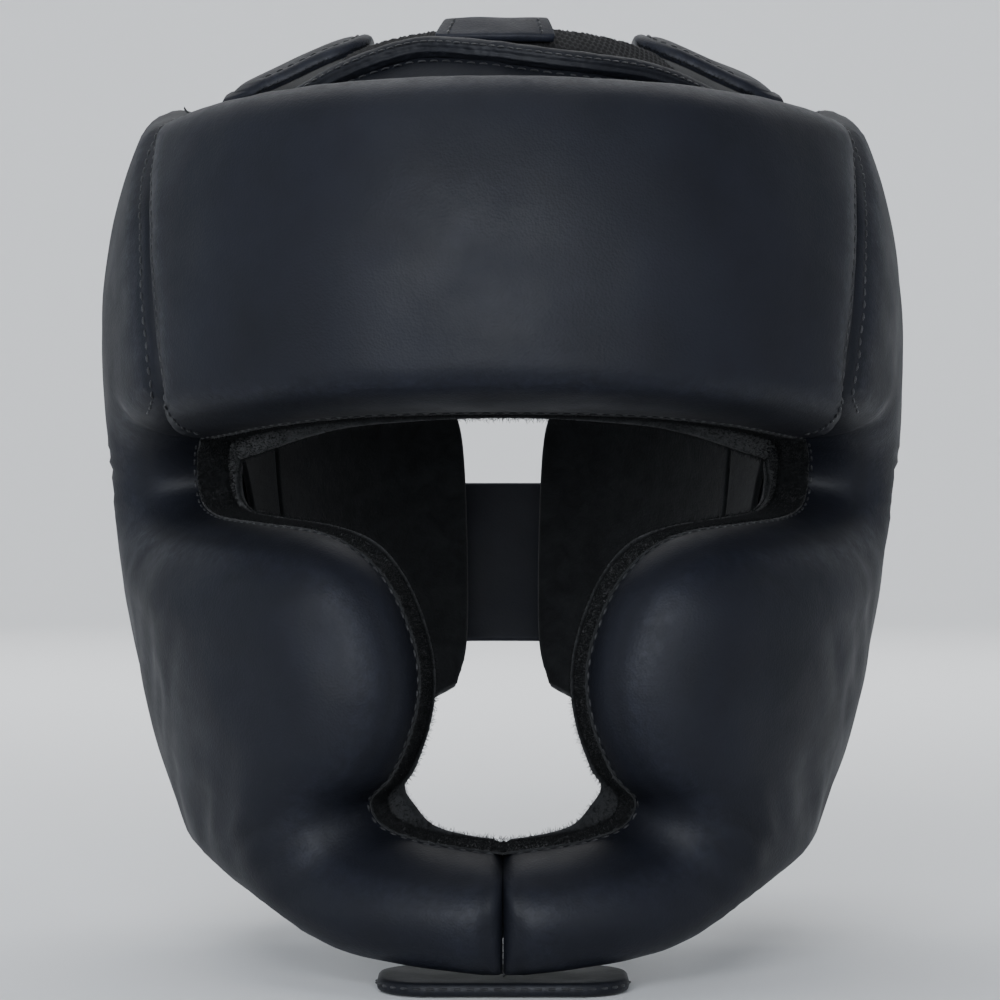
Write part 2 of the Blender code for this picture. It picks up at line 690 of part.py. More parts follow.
def main():
    clear_scene()
    MATERIALS.update(make_materials())
    make_forehead()
    for side, sign in (("left", 1), ("right", -1)):
        make_side(side, sign)
        make_wing(side, sign)
        make_crown_flap(side, sign)
    make_rear_closure()
    make_crown_front()
    make_crown_tab()
    make_rear_band()
    make_chin_gusset()


main()
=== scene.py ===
"""Looks of the full-face boxing headgear: padded leather, suede, stitching, crown and closure.

Everything stands on the same head form as the CAD frame. A place is an azimuth from the front in
degrees and a height in millimetres, and a third number is the height above the form.
"""
import math

import bmesh
import bpy
import numpy as np
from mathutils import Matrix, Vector, kdtree, noise
from mathutils.geometry import delaunay_2d_cdt


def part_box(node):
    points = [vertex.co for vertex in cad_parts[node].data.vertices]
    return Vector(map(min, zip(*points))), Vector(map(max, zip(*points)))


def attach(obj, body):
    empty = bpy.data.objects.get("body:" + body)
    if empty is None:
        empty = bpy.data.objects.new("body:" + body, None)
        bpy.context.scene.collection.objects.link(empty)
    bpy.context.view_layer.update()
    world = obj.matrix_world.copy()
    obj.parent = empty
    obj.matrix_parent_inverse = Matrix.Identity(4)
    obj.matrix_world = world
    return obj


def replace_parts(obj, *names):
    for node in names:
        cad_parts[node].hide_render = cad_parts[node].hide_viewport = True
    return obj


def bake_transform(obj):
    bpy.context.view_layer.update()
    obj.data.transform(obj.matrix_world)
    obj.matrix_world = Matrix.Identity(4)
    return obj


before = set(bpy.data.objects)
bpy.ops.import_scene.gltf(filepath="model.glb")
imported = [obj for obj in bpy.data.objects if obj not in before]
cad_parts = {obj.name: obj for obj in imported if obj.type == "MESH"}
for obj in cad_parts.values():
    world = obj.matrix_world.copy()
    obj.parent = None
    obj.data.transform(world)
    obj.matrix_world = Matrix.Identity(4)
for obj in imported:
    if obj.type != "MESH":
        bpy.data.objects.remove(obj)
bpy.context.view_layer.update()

MM = 0.001
ARC = math.pi * 95 / 180            # millimetres of arc for one degree of azimuth
FORM = (ARC, 1)                     # the flat metric of azimuths and heights
SIDES = (("left", 1), ("right", -1))

# Head form, in millimetres
HALF_WIDTH, FRONT_DEPTH, BACK_DEPTH, SECTION_POWER = 82.0, 100.0, 98.0, 2.3
BROAD_LEVEL, CROWN_RISE, CROWN_POWER, JAW_DROP = 45.0, 95.0, 2.2, 129.0
JAW_NARROWING, NAPE_NARROWING, CHIN_SHORTENING, CHIN_POWER = 22.5, 22.0, 3.0, 6

# Layers, in millimetres
GAP, SEAM_GAP, LEATHER, LINING = 0.3, 0.05, 1.2, 2.0
FOREHEAD_PAD, SIDE_PAD, WING_PAD = 32.0, 32.0, 20.0
NAPE_CLEARANCE = 1.4
LINING_TOP = -2 * GAP
LINING_UNDER = LINING_TOP - LINING
TAPE_HALF_WIDTH, TAPE_HEIGHT = 5.5, 0.9
WEBBING, PATCH, TAPE_GAP, STRAP = 2.0, 1.0, 0.7, 2.2
FOAM_INSET = 3.2

# Cloth simulation of the covers
SIM_FRAMES = 14
SWELL_CAP = 2.6                     # the most that the cloth may rise, in millimetres
CLOTH = {"quality": 4, "mass": 0.25, "tension_stiffness": 18, "compression_stiffness": 18,
         "shear_stiffness": 8, "bending_stiffness": 4.0, "vertex_group_mass": "pins",
         "use_pressure": True, "uniform_pressure_force": 3.0, "shrink_min": -0.008}

# Mesh grain, in millimetres
EDGE_STEP, PAD_GRID, SIM_GRID, PLATE_GRID = 2.2, 2.4, 4.2, 3.0
PAD_RINGS = (0.25, 0.8, 1.7, 2.5, 3.1, 3.8, 5.2)
WALL_ROWS = (0.84, 0.66, 0.48, 0.32, 0.18, 0.08, 0.0)
TUCK = 1.6                          # how far a pad's foot turns under

# Shared runs on the wearer's left, as (azimuth, height, wall height, shoulder width)
TEMPLE_SEAM = [(63, 95.5, 20, 8), (57.5, 84, 26, 8), (52, 72, 28, 9), (48.8, 59, 28, 9),
               (46.8, 46, 28, 9), (45.5, 34, 27, 9), (46.2, 27, 23, 9), (51.5, 21.8, 16, 10),
               (61, 17.5, 8, 11)]
NAPE = 126                          # the nape seam's azimuth
NAPE_SEAM = [(NAPE, z, 5, 24) for z in (-70, -40, -10, 20, 48)]
CHIN_SEAM = [(0, -90.5, 9, 7), (0, -96, 23, 7), (0, -112, 24, 7), (0, -117.5, 10, 7)]

# Free edges, the same way
BROW_EDGE = [(61, 17.5, 8, 11), (50, 18.4, 5, 11), (36, 20.4, 4, 11), (20, 22.2, 4, 11),
             (0, 22.8, 4, 11)]
HAIRLINE_EDGE = [(0, 100.5, 8, 14), (30, 99.5, 8, 14), (52, 97.5, 12, 12), (63, 95.5, 20, 10)]
FACE_EDGE = [(61, 17.5, 8, 14), (66.5, 12, 8, 14), (68.5, 5, 8, 15), (63.5, -0.5, 8, 17),
             (54, -4, 7, 20), (40, -6, 6, 23), (28, -8, 7, 24), (21, -12, 9, 24),
             (16, -20, 10, 24), (12.6, -33, 10, 24), (11.2, -46, 10, 24),
             (12.2, -59, 10, 24), (15.4, -71, 8, 22), (19.6, -78, 6, 20),
             (18.4, -84.5, 5, 17), (12.5, -87.8, 6, 14), (6, -89.3, 8, 13), (0, -90.5, 9, 13)]
JAW_EDGE = [(0, -117.5, 10, 15), (18, -113, 10, 16), (34, -103.5, 8, 17), (50, -98, 7, 16),
            (70, -96, 6, 16), (90, -89, 6, 18), (108, -82, 6, 20), (126, -70, 5, 23)]
TEMPLE_TOP_EDGE = [(126, 48, 5, 20), (124, 64, 6, 20), (114, 81, 9, 18), (98, 91.5, 12, 15),
                   (80, 100, 20, 11), (63, 95.5, 20, 9)]
WING_NAPE_EDGE = [(126, -70, 5, 18), (140, -69, 5, 16), (160, -64, 5, 15), (170, -58, 5, 14)]
WING_BACK_EDGE = [(170, -58, 5, 14), (172.5, -44, 5, 14), (173, -10, 5, 14),
                  (172, 22, 5, 14), (168, 34, 5, 14)]
WING_TOP_EDGE = [(168, 34, 5, 14), (156, 40, 5, 15), (140, 46, 5, 16), (126, 48, 5, 18)]
LINING_SEAM = [(61, 17.5), (57, 11)]
LINING_FACE_EDGE = [(57, 11), (60, 6.5), (60, 1), (53, -3), (40, -4.8),
                    (28, -6.8), (20.2, -11), (15.2, -20), (11.8, -33), (10.4, -46),
                    (11.4, -59), (14.2, -71), (16.4, -76), (14.5, -81), (11.5, -85.8),
                    (6, -88.2), (0, -89.5)]
LINING_BROW_EDGE = [(57, 11), (48, 12.4), (40, 14.4), (30, 17.6), (20, 19.8), (0, 21.4)]
CREASES = [                         # places on the wearer's left, then the crease's depth and width
    ((70.5, 12.5), (84, 17.5), 0.55, 0.9), ((71.5, 9.0), (88, 11.5), 0.70, 1.0),
    ((72.0, 5.5), (87, 5.5), 0.60, 0.9), ((70.5, 1.5), (83, -1.5), 0.50, 0.9),
    ((21.5, -80.0), (29, -92.0), 0.80, 1.4), ((24.5, -76.0), (34, -86.0), 0.65, 1.3),
    ((20.0, -86.5), (24, -98.0), 0.45, 1.2), ((3.0, -93.0), (9, -96.5), 0.40, 1.1),
    ((26, -13.5), (34, -20.0), 0.35, 1.6), ((52, 15.5), (46, 22.5), 0.40, 1.0),
]
FOREHEAD_CREASES = [((-44, 24.5), (-30, 26.5), 0.35, 1.5), ((30, 26.0), (43, 24.0), 0.35, 1.5)]
EAR_CENTRE, EAR_HALF, EAR_WALL, EAR_SHOULDER = (101, -10), (17, 25), 6.0, 13.0
EAR_HOLE_RADIUS, EAR_HOLE_SPACING = 1.7, 9.0

# Crown, closure and chin
BINDING_LINE = [(-66, 100.5), (-50, 107.5), (-34, 115.5), (-20, 119.8), (-6, 119), (12, 115.8),
                (32, 113.4), (50, 108), (66, 101)]
BINDING_RADIUS, BINDING_ROW = 3.2, 0.5   # the stitch row's turn below the front, in radians
WEBBING_TOP = [(43, 122), (34, 124.8), (18, 127.2), (0, 127.6)]
WEBBING_FOOT = [(47, 112.5), (34, 116.4), (18, 119.6), (0, 119.8)]
CROWN_REST = 0.4
PANEL_FOOT, PANEL_HEAD = -4.0, 0.6  # its edges lie behind the brow pad and the binding
TAB_CENTRE, TAB_WIDTH, TAB_DEPTH, TAB_LOW, TAB_HIGH = -2.0, 29.0, 58.0, 121.2, 127.2
FLAP_PROFILE = [(78, 112.6), (74, 114.8), (68, 118), (60, 121.6), (48, 127.2), (37, 130.6)]
FLAP_THICKNESS, FLAP_FRONT, FLAP_REAR, FLAP_SAG, FLAP_CORNER = 4.0, -33.0, 24.0, 0.0045, 12.0
BAND_LOW, BAND_HIGH, BAND_START = 52.0, 74.0, 129.0
BAND_SEWN = 9.0                     # degrees of it that lie under each side pad
STRAP_SEWN, STRAP_FREE, STRAP_LOW, STRAP_HIGH, STRAP_CORNER = 150.0, 209.0, -40.0, 8.0, 8.0
TAPE_REACH, TAPE_MARGIN, TAPE_CORNER = 15.0, 4.0, 3.0
GUSSET_HALF_WIDTH, GUSSET_FRONT, GUSSET_REAR, GUSSET_CORNER = 33.0, -113.0, -74.0, 14.0
GUSSET_TOP, GUSSET_BOTTOM = -124.5, -128.0

# Thread
STITCH_PITCH, STITCH_LENGTH, STITCH_RADIUS = 3.5, 2.5, 0.33
FINE_LENGTH, FINE_RADIUS, STITCH_SINK = 2.2, 0.26, 0.15
BROW_FACING_END = 58.0              # the brow's suede facing ends at this azimuth
SEAM_ROW = 3.1                      # a stitch row's distance from its seam
SEAM_ROW_WALL = 15.0                # it ends where the seam's walls are lower than this
WALL_ROW = 2.6                      # its height on the side wall of a free edge
FACING_ROW = 0.9                    # its height over the suede at the face opening

# Hairs that are tried on each lining and grown on each facing
BROW_HAIRS, BROW_FACING_HAIRS, SIDE_HAIRS, SIDE_FACING_HAIRS = 40000, 9000, 90000, 26000

# Studio, in metres: each light's name, place, size, power, colour and target
FLOOR_START, FLOOR_FLAT, WALL_TOP, FLOOR_SIDES = 0.6, 2.6, 3.0, 96
PAPER_TONE, WORLD_TONE, WORLD_STRENGTH = (0.80, 0.81, 0.82), (0.80, 0.88, 1.0, 1), 0.12
CAMERA_PLACE, LENS, SENSOR, LENS_SHIFT = (0, -1.0, 0), 124.1, 36.0, -0.003
LIGHTS = (("front", (-0.25, -2.3, 0.15), (1.3, 2.4), 125, (0.90, 0.94, 1.0), (0, 0, 0)),
          ("left", (-1.7, 0.1, 0.5), (1.2, 1.4), 4, (0.80, 0.90, 1.0), (0, 0, 0)),
          ("right", (1.7, 0.0, 0.6), (1.2, 1.2), 1, (1.0, 0.98, 0.95), (0, 0, 0)),
          ("top", (-0.2, 0.1, 1.6), (1.2, 1.0), 10, (0.95, 0.97, 1.0), (0, 0, 0)),
          ("back", (0.0, 1.3, 1.5), (2.6, 0.8), 45, (1, 1, 1), (0, 2.0, 0.2)))


# ---------------------------------------------------------------- materials

class Shader:
    """A Principled material that is put together node by node."""

    def __init__(self, name, colour, roughness, **sockets):
        self.material = bpy.data.materials.new(name)
        self.material.use_nodes = True
        self.nodes = self.material.node_tree.nodes
        self.links = self.material.node_tree.links
        self.bsdf = self.nodes["Principled BSDF"]
        self.set("Base Color", (*colour, 1))
        self.set("Roughness", roughness)
        for socket, value in sockets.items():
            self.set(socket.replace("_", " "), value)
        self.place = self.nodes.new("ShaderNodeTexCoord").outputs["Object"]
        self.relief = None

    def set(self, socket, value):
        self.bsdf.inputs[socket].default_value = value

    def texture(self, kind, scale, output, **values):
        node = self.nodes.new(kind)
        self.links.new(self.place, node.inputs["Vector"])
        node.inputs["Scale"].default_value = scale
        for socket, value in values.items():
            node.inputs[socket].default_value = value
        return node.outputs[output]

    def noise(self, scale, detail=3.0, roughness=0.5, distortion=0.0):
        return self.texture("ShaderNodeTexNoise", scale, 0, Detail=detail, Roughness=roughness,
                            Distortion=distortion)

    def cells(self, scale, randomness=1.0):
        return self.texture("ShaderNodeTexVoronoi", scale, "Distance", Randomness=randomness)

    def attribute(self, name):
        node = self.nodes.new("ShaderNodeAttribute")
        node.attribute_name = name
        return node.outputs["Fac"]

    def remap(self, value, low, high, out_low=0.0, out_high=1.0):
        node = self.nodes.new("ShaderNodeMapRange")
        self.links.new(value, node.inputs["Value"])
        for socket, number in (("From Min", low), ("From Max", high),
                               ("To Min", out_low), ("To Max", out_high)):
            node.inputs[socket].default_value = number
        return node.outputs["Result"]

    def math(self, operation, first, second):
        node = self.nodes.new("ShaderNodeMath")
        node.operation = operation
        for socket, value in zip(node.inputs, (first, second)):
            if isinstance(value, (int, float)):
                socket.default_value = value
            else:
                self.links.new(value, socket)
        return node.outputs[0]

    def mix(self, share, first, second):
        """A colour between two, each a colour or a socket."""
        node = self.nodes.new("ShaderNodeMix")
        node.data_type = "RGBA"
        self.links.new(share, node.inputs[0])
        for socket, value in ((node.inputs[6], first), (node.inputs[7], second)):
            if isinstance(value, tuple):
                socket.default_value = (*value, 1)
            else:
                self.links.new(value, socket)
        return node.outputs[2]

    def colour(self, value):
        self.links.new(value, self.bsdf.inputs["Base Color"])

    def roughness(self, value):
        self.links.new(value, self.bsdf.inputs["Roughness"])

    def bump(self, height, distance, strength=1.0):
        """Adds relief; distance is in millimetres."""
        node = self.nodes.new("ShaderNodeBump")
        node.inputs["Distance"].default_value = distance * MM
        node.inputs["Strength"].default_value = strength
        self.links.new(height, node.inputs["Height"])
        if self.relief:
            self.links.new(self.relief, node.inputs["Normal"])
        self.relief = node.outputs["Normal"]
        self.links.new(self.relief, self.bsdf.inputs["Normal"])


def leather_material(name, tone, roughness=0.57, grain=1.0):
    """Matte grained synthetic leather, a little lighter and smoother where edges are rubbed, with
    painted shade that darkens it in creases, grooves, on pad walls and underneath.
    """
    dark = tuple(0.80 * c for c in tone)
    light = tuple(1.22 * c for c in tone)
    worn = tuple(1.75 * c for c in tone)
    made = Shader(name, tone, roughness, Specular_IOR_Level=0.20)
    blotches = made.remap(made.noise(34, 4, 0.6), 0.32, 0.68)
    base = made.mix(blotches, dark, light)
    rubbed = made.math("MULTIPLY", made.attribute("wear"),
                       made.remap(made.noise(420, 3, 0.7), 0.40, 0.68))
    # Painted shade: where a point's shade share is high, in creases, grooves, on walls and
    # underneath, the colour is darkened towards 0.35 of the tone.
    shade = made.remap(made.attribute("crease"), 0.0, 1.0, 0.0, 0.55)
    base = made.mix(rubbed, base, worn)
    made.colour(made.mix(shade, base, tuple(0.35 * c for c in tone)))
    patchy = made.remap(made.noise(55, 5, 0.65), 0.3, 0.7, roughness - 0.05, roughness + 0.07)
    made.roughness(made.math("SUBTRACT", patchy, made.math("MULTIPLY", rubbed, 0.08)))
    made.bump(made.cells(1500 / grain), 0.10, 0.50)
    made.bump(made.noise(700 / grain, 4, 0.62), 0.10, 0.45)
    made.bump(made.noise(120, 3, 0.5), 0.25, 0.25)
    return made.material


def suede_material():
    """Black napped lining with brushed patches."""
    made = Shader("suede", (0.008, 0.009, 0.010), 0.96, Specular_IOR_Level=0.10,
                  Sheen_Weight=0.10, Sheen_Roughness=0.6)
    brushed = made.remap(made.noise(160, 5, 0.7, 0.6), 0.35, 0.65)
    made.colour(made.mix(brushed, (0.0045, 0.005, 0.0055), (0.011, 0.012, 0.013)))
    made.bump(made.noise(1400, 6, 0.75), 0.45, 0.8)
    made.bump(made.noise(300, 4, 0.6), 0.6, 0.4)
    return made.material


def fibre_material():
    made = Shader("fibre", (0.008, 0.0085, 0.0095), 0.9, Specular_IOR_Level=0.10)
    made.colour(made.mix(made.noise(500, 2), (0.0035, 0.0038, 0.0042), (0.014, 0.0145, 0.015)))
    return made.material


def webbing_material():
    """Coarse black polypropylene webbing; its ribs are modelled, and this adds the filaments."""
    made = Shader("webbing", (0.005, 0.005, 0.006), 0.72, Specular_IOR_Level=0.22)
    made.colour(made.mix(made.noise(900, 2), (0.002, 0.002, 0.0022), (0.010, 0.010, 0.011)))
    made.bump(made.texture("ShaderNodeTexWave", 900, 1, Distortion=1.5, Detail=2.0), 0.12, 0.7)
    return made.material


def thread_material():
    """Twisted black polyester thread, which catches small lights."""
    made = Shader("thread", (0.012, 0.012, 0.014), 0.42, Specular_IOR_Level=0.5)
    made.colour(made.mix(made.noise(260, 2), (0.004, 0.004, 0.005), (0.030, 0.031, 0.034)))
    made.bump(made.texture("ShaderNodeTexWave", 1800, 1, Distortion=2.0), 0.10, 0.8)
    return made.material


def foam_material():
    """Dark grey open-cell foam, with painted shade in its pores."""
    made = Shader("foam", (0.20, 0.20, 0.21), 0.92)
    pores = made.cells(700)
    # Painted shade: the pore hollows, low in the bump, are painted darker.
    made.colour(made.mix(made.remap(pores, 0.1, 0.6), (0.10, 0.10, 0.105), (0.24, 0.24, 0.25)))
    made.bump(pores, 0.5, 0.8)
    return made.material


def tape_material(name, scale, tone):
    """Hook or loop tape."""
    made = Shader(name, tone, 0.9, Sheen_Weight=0.3)
    knots = made.cells(scale, 0.3)
    made.colour(made.mix(made.remap(knots, 0.1, 0.7), tuple(1.8 * c for c in tone), tone))
    made.bump(knots, 0.6, 0.9)
    return made.material


def stage_material(tone):
    made = Shader("studio_paper", tone, 0.9)
    made.colour(made.mix(made.noise(3, 2), tuple(0.985 * c for c in tone), tone))
    return made.material


LEATHER_TONE = (0.0052, 0.0061, 0.0098)
LOOKS = {
    "leather": leather_material("leather", LEATHER_TONE),
    "trim": leather_material("trim_leather", (0.0050, 0.0056, 0.0078), 0.56, 1.7),
    "suede": suede_material(),
    "fibre": fibre_material(),
    "webbing": webbing_material(),
    "thread": thread_material(),
    "foam": foam_material(),
    "hook": tape_material("hook_tape", 900, (0.010, 0.010, 0.011)),
    "loop": tape_material("loop_tape", 1500, (0.013, 0.013, 0.014)),
}


# ---------------------------------------------------------------- head form

def unit(rows):
    """The rows as vectors of length 1."""
    return rows / np.maximum(np.linalg.norm(rows, axis=1)[:, None], 1e-9)


def form_size(z):
    """Half width, front depth and back depth of the head form at the heights z."""
    above = np.clip((z - BROAD_LEVEL) / CROWN_RISE, 0, 0.999)
    below = np.clip((BROAD_LEVEL - z) / JAW_DROP, 0, None)
    closing = (1 - above ** CROWN_POWER) ** (1 / CROWN_POWER)
    width = (HALF_WIDTH - JAW_NARROWING * below ** 2) * closing
    front = (FRONT_DEPTH - CHIN_SHORTENING * below ** CHIN_POWER) * closing
    back = (BACK_DEPTH - NAPE_NARROWING * below ** 2) * closing
    return width, front, back


def form_point(azimuth, z):
    """Points of the head form, in millimetres."""
    width, front, back = form_size(z)
    side, along = np.sin(np.radians(azimuth)), np.cos(np.radians(azimuth))
    depth = np.where(along >= 0, front, back)
    reach = (np.abs(side / width) ** SECTION_POWER
             + np.abs(along / depth) ** SECTION_POWER) ** (-1 / SECTION_POWER)
    return np.stack([reach * side, -reach * along, z + 0 * reach], axis=-1)


def on_form(uv, height):
    """Points the given height above the form; uv holds azimuths and heights."""
    azimuth, z = uv[:, 0], uv[:, 1]
    step = 0.2
    east = form_point(azimuth + step, z) - form_point(azimuth - step, z)
    up = form_point(azimuth, z + step) - form_point(azimuth, z - step)
    return form_point(azimuth, z) + unit(np.cross(east, up)) * np.reshape(height, (-1, 1))


def form_place(azimuth, z, height):
    """One such point in metres, for a fold's start or end."""
    return on_form(np.array([[azimuth, z]]), height)[0] * MM


# ---------------------------------------------------------------- outlines

def travel(points):
    """How far along an open line each of its points lies."""
    return np.concatenate([[0], np.cumsum(np.linalg.norm(np.diff(points, axis=0), axis=1))])


def read_off(points, travelled, stops):
    """The line's points at the stops along it."""
    return np.stack([np.interp(stops, travelled, column) for column in points.T], axis=1)


def moved_left(flat, ahead, inset):
    ahead = unit(ahead)
    return flat + np.stack([-ahead[:, 1], ahead[:, 0]], axis=1) * np.reshape(inset, (-1, 1))


def smooth(points, step=EDGE_STEP, metric=FORM):
    """A smooth curve through the points, with a sample about every step millimetres."""
    knots = np.array(points, float)
    scale = np.zeros(knots.shape[1])
    scale[:2] = metric
    padded = np.vstack([2 * knots[0] - knots[1], knots, 2 * knots[-1] - knots[-2]])
    fine = []
    for index in range(1, len(padded) - 2):
        a, b, c, d = padded[index - 1:index + 3]
        for t in np.linspace(0, 1, 24, endpoint=False):
            fine.append(0.5 * (2 * b + (c - a) * t + (2 * a - 5 * b + 4 * c - d) * t * t
                               + (3 * b - a - 3 * c + d) * t ** 3))
    fine = np.array(fine + [knots[-1]])
    travelled = travel(fine * scale)
    count = max(2, round(travelled[-1] / step) + 1)
    return read_off(fine, travelled, np.linspace(0, travelled[-1], count))


def mirrored(points):
    """The same run on the other side, travelled the other way."""
    return [(-azimuth, *rest) for azimuth, *rest in reversed(points)]


def whole(half):
    """A run over the middle of the front, from its half that starts at the middle."""
    return mirrored(half[1:]) + half


def oval(centre, half, count, turn=-1):
    """A closed loop, clockwise as seen from outside where turn is -1."""
    turns = np.linspace(0, turn * 2 * math.pi, count, endpoint=False)
    azimuth = centre[0] + half[0] / ARC * np.cos(turns)
    return np.stack([azimuth, centre[1] + half[1] * np.sin(turns)], axis=1)


def inset_loop(loop, inset, metric=FORM):
    """A closed loop moved to the left of its direction of travel."""
    flat = loop[:, :2] * metric
    ahead = np.roll(flat, -1, axis=0) - np.roll(flat, 1, axis=0)
    return moved_left(flat, ahead, inset) / metric


def inset_line(line, inset, metric=FORM):
    """An open line moved to the left of its direction of travel."""
    flat = line[:, :2] * metric
    return moved_left(flat, np.gradient(flat, axis=0), inset) / metric


def rounded_box(low, high, corner, metric=FORM, step=EDGE_STEP):
    """A closed loop with round corners, counter-clockwise."""
    points = []
    turns = 3 + round(corner / 2)
    for quarter in range(4):
        right, top = quarter in (0, 3), quarter in (0, 1)
        centre_x = high[0] - corner / metric[0] if right else low[0] + corner / metric[0]
        centre_y = high[1] - corner if top else low[1] + corner
        for index in range(turns + 1):
            turn = math.radians(90 * quarter + 90 * index / turns)
            points.append((centre_x + corner / metric[0] * math.cos(turn),
                           centre_y + corner * math.sin(turn)))
    return refined(np.array(points), metric, step)


def refined(loop, metric=FORM, step=EDGE_STEP):
    """The closed loop with extra points along its long sides."""
    points = []
    for here, ahead in zip(loop, np.roll(loop, -1, axis=0)):
        pieces = max(1, round(np.linalg.norm((ahead - here) * metric) / step))
        points += [here + (ahead - here) * k / pieces for k in range(pieces)]
    return np.array(points)


def resampled(line, step):
    """An open line of places with a sample about every step millimetres."""
    travelled = travel(line[:, :2] * FORM)
    return read_off(line, travelled, np.arange(0, travelled[-1], step))


def cleared(loop, source, inset):
    """An inset loop without the points that a sharp corner has pushed across."""
    flat, line = loop * FORM, source * FORM
    ahead = np.roll(line, -1, axis=0)
    turns_left = (line[:, 0] * ahead[:, 1] - ahead[:, 0] * line[:, 1]).sum() > 0
    kept = inside(flat, line) == turns_left
    return loop[kept & (clearance(flat, [line]) > 0.8 * inset)]


def nearest_on(points, line):
    """Each point's distance to a polyline, and the segment and share where it is nearest."""
    start, span = line[:-1], np.diff(line, axis=0)
    length = np.maximum((span * span).sum(-1), 1e-12)
    distances, segments, shares = [], [], []
    for block in np.array_split(points, max(1, len(points) // 3000)):
        away = block[:, None, :] - start[None]
        share = np.clip((away * span).sum(-1) / length, 0, 1)
        distance = np.linalg.norm(away - share[..., None] * span, axis=-1)
        nearest = distance.argmin(axis=1)
        rows = np.arange(len(block))
        distances.append(distance[rows, nearest])
        segments.append(nearest)
        shares.append(share[rows, nearest])
    return np.concatenate(distances), np.concatenate(segments), np.concatenate(shares)


def clearance(points, loops):
    """Distance from each point to the nearest closed loop."""
    nearest = np.full(len(points), np.inf)
    for loop in loops:
        closed = np.vstack([loop, loop[:1]])
        nearest = np.minimum(nearest, nearest_on(points, closed)[0])
    return nearest


def inside(points, loop):
    """Which points lie inside the closed loop."""
    x, y = points[:, 0][:, None], points[:, 1][:, None]
    x1, y1 = loop[:, 0], loop[:, 1]
    x2, y2 = np.roll(x1, -1), np.roll(y1, -1)
    crosses = (y1 > y) != (y2 > y)
    with np.errstate(divide="ignore", invalid="ignore"):
        at = x1 + (y - y1) * (x2 - x1) / (y2 - y1)
    return (crosses & (x < at)).sum(axis=1) % 2 == 1


def holds(points, loops):
    """Which points lie in the region: inside the first loop and outside the others."""
    found = inside(points, loops[0])
    for hole in loops[1:]:
        found &= ~inside(points, hole)
    return found


class Edge:
    """One stretch of a pad's edge. A folding edge has a soft slope, others a round shoulder."""

    def __init__(self, points, folds=False, inset=SEAM_GAP):
        self.samples = smooth(points) if isinstance(points, list) else points
        self.folds, self.inset = folds, inset
        self.line = on_form(self.samples, 0)
        self.travelled = travel(self.line)

    def drop(self, here, thickness):
        """How far this edge keeps the pad down, the distance to it, and how far along it."""
        distance, segment, share = nearest_on(here, self.line)
        share = share[:, None]
        wall, shoulder = (self.samples[segment, 2:] * (1 - share)
                          + self.samples[segment + 1, 2:] * share).T
        left = 1 - np.clip(distance / shoulder, 0, 1)
        fall = left ** 2 if self.folds else 1 - np.sqrt(1 - left ** 2)
        along = self.travelled[segment] + share[:, 0] * np.diff(self.travelled)[segment]
        return (thickness - wall) * fall, distance, along

    def flipped(self):
        samples = self.samples[::-1].copy()
        samples[:, 0] *= -1
        return Edge(samples, self.folds, self.inset)


def flip(edges):
    """The edges of the other side, in their travelling order."""
    return [edge.flipped() for edge in reversed(edges)]


def joined(edges):
    """The edges end to end as one inset loop."""
    points = np.vstack([edge.samples[:-1, :2] for edge in edges])
    insets = np.concatenate([[edge.inset] * (len(edge.samples) - 1) for edge in edges])
    return cleared(inset_loop(points, insets), points, insets)


# ---------------------------------------------------------------- meshes

class Patch:
    """A triangulated region; loops keep it on their left, and rings are rows along the loops."""

    def __init__(self, loops, grid, rings=(), metric=FORM):
        flat = [loop[:, :2] * metric for loop in loops]
        low, high = flat[0].min(axis=0), flat[0].max(axis=0)
        columns = np.arange(low[0] + grid / 2, high[0], grid)
        rows = np.arange(low[1] + grid / 2, high[1], grid * 0.87)
        seeds = [(x + (row % 2) * grid / 2, y) for row, y in enumerate(rows) for x in columns]
        seeds = np.array(seeds).reshape(-1, 2)
        seeds = seeds[holds(seeds, flat)] if len(seeds) else seeds
        reach = (max(rings) if rings else 0) + grid * 0.5
        seeds = seeds[clearance(seeds, flat) > reach] if len(seeds) else seeds
        extra = [seeds]
        for offset in rings:
            ring = np.vstack([inset_loop(loop, offset, metric) * metric for loop in loops])
            ring = ring[holds(ring, flat)]
            extra.append(ring[clearance(ring, flat) > offset * 0.9] if len(ring) else ring)
        points = np.vstack(flat + extra)
        edges, first = [], 0
        for loop in flat:
            edges += [(first + i, first + (i + 1) % len(loop)) for i in range(len(loop))]
            first += len(loop)
        result = delaunay_2d_cdt([tuple(p) for p in points], edges, [], 0, 1e-6, True)
        source, crossings = [], []
        for place, ids in zip(result[0], result[3]):
            source.append(ids[0] if ids else len(points) + len(crossings))
            crossings += [] if ids else [tuple(place)]
        points = np.vstack([points, crossings]) if crossings else points
        faces = np.array([[source[i] for i in face] for face in result[2]])
        keep = holds(points[faces].mean(axis=1), flat)
        self.faces = faces[keep].tolist()
        self.rim_count, self.rim_edges = first, edges
        self.flat, self.loops, self.metric = points, loops, metric
        self.uv = points / metric
        self.clear = clearance(points, flat)
        self.clear[:first] = 0


def build(name, points, faces, look, **attributes):
    """A smooth shaded object from points in millimetres."""
    mesh = bpy.data.meshes.new(name)
    mesh.from_pydata([tuple(p) for p in np.asarray(points) * MM], [], faces)
    for key, values in attributes.items():
        layer = mesh.attributes.new(key, "FLOAT", "POINT")
        layer.data.foreach_set("value", np.asarray(values, np.float32))
    work = bmesh.new()
    work.from_mesh(mesh)
    bmesh.ops.delete(work, geom=[v for v in work.verts if not v.link_faces], context="VERTS")
    bmesh.ops.recalc_face_normals(work, faces=work.faces)
    work.to_mesh(mesh)
    work.free()
    mesh.shade_smooth()
    mesh.materials.append(LOOKS[look])
    item = bpy.data.objects.new(name, mesh)
    bpy.context.scene.collection.objects.link(item)
    return item


def at_height(value, patch):
    return value(patch) if callable(value) else np.full(len(patch.uv), float(value))


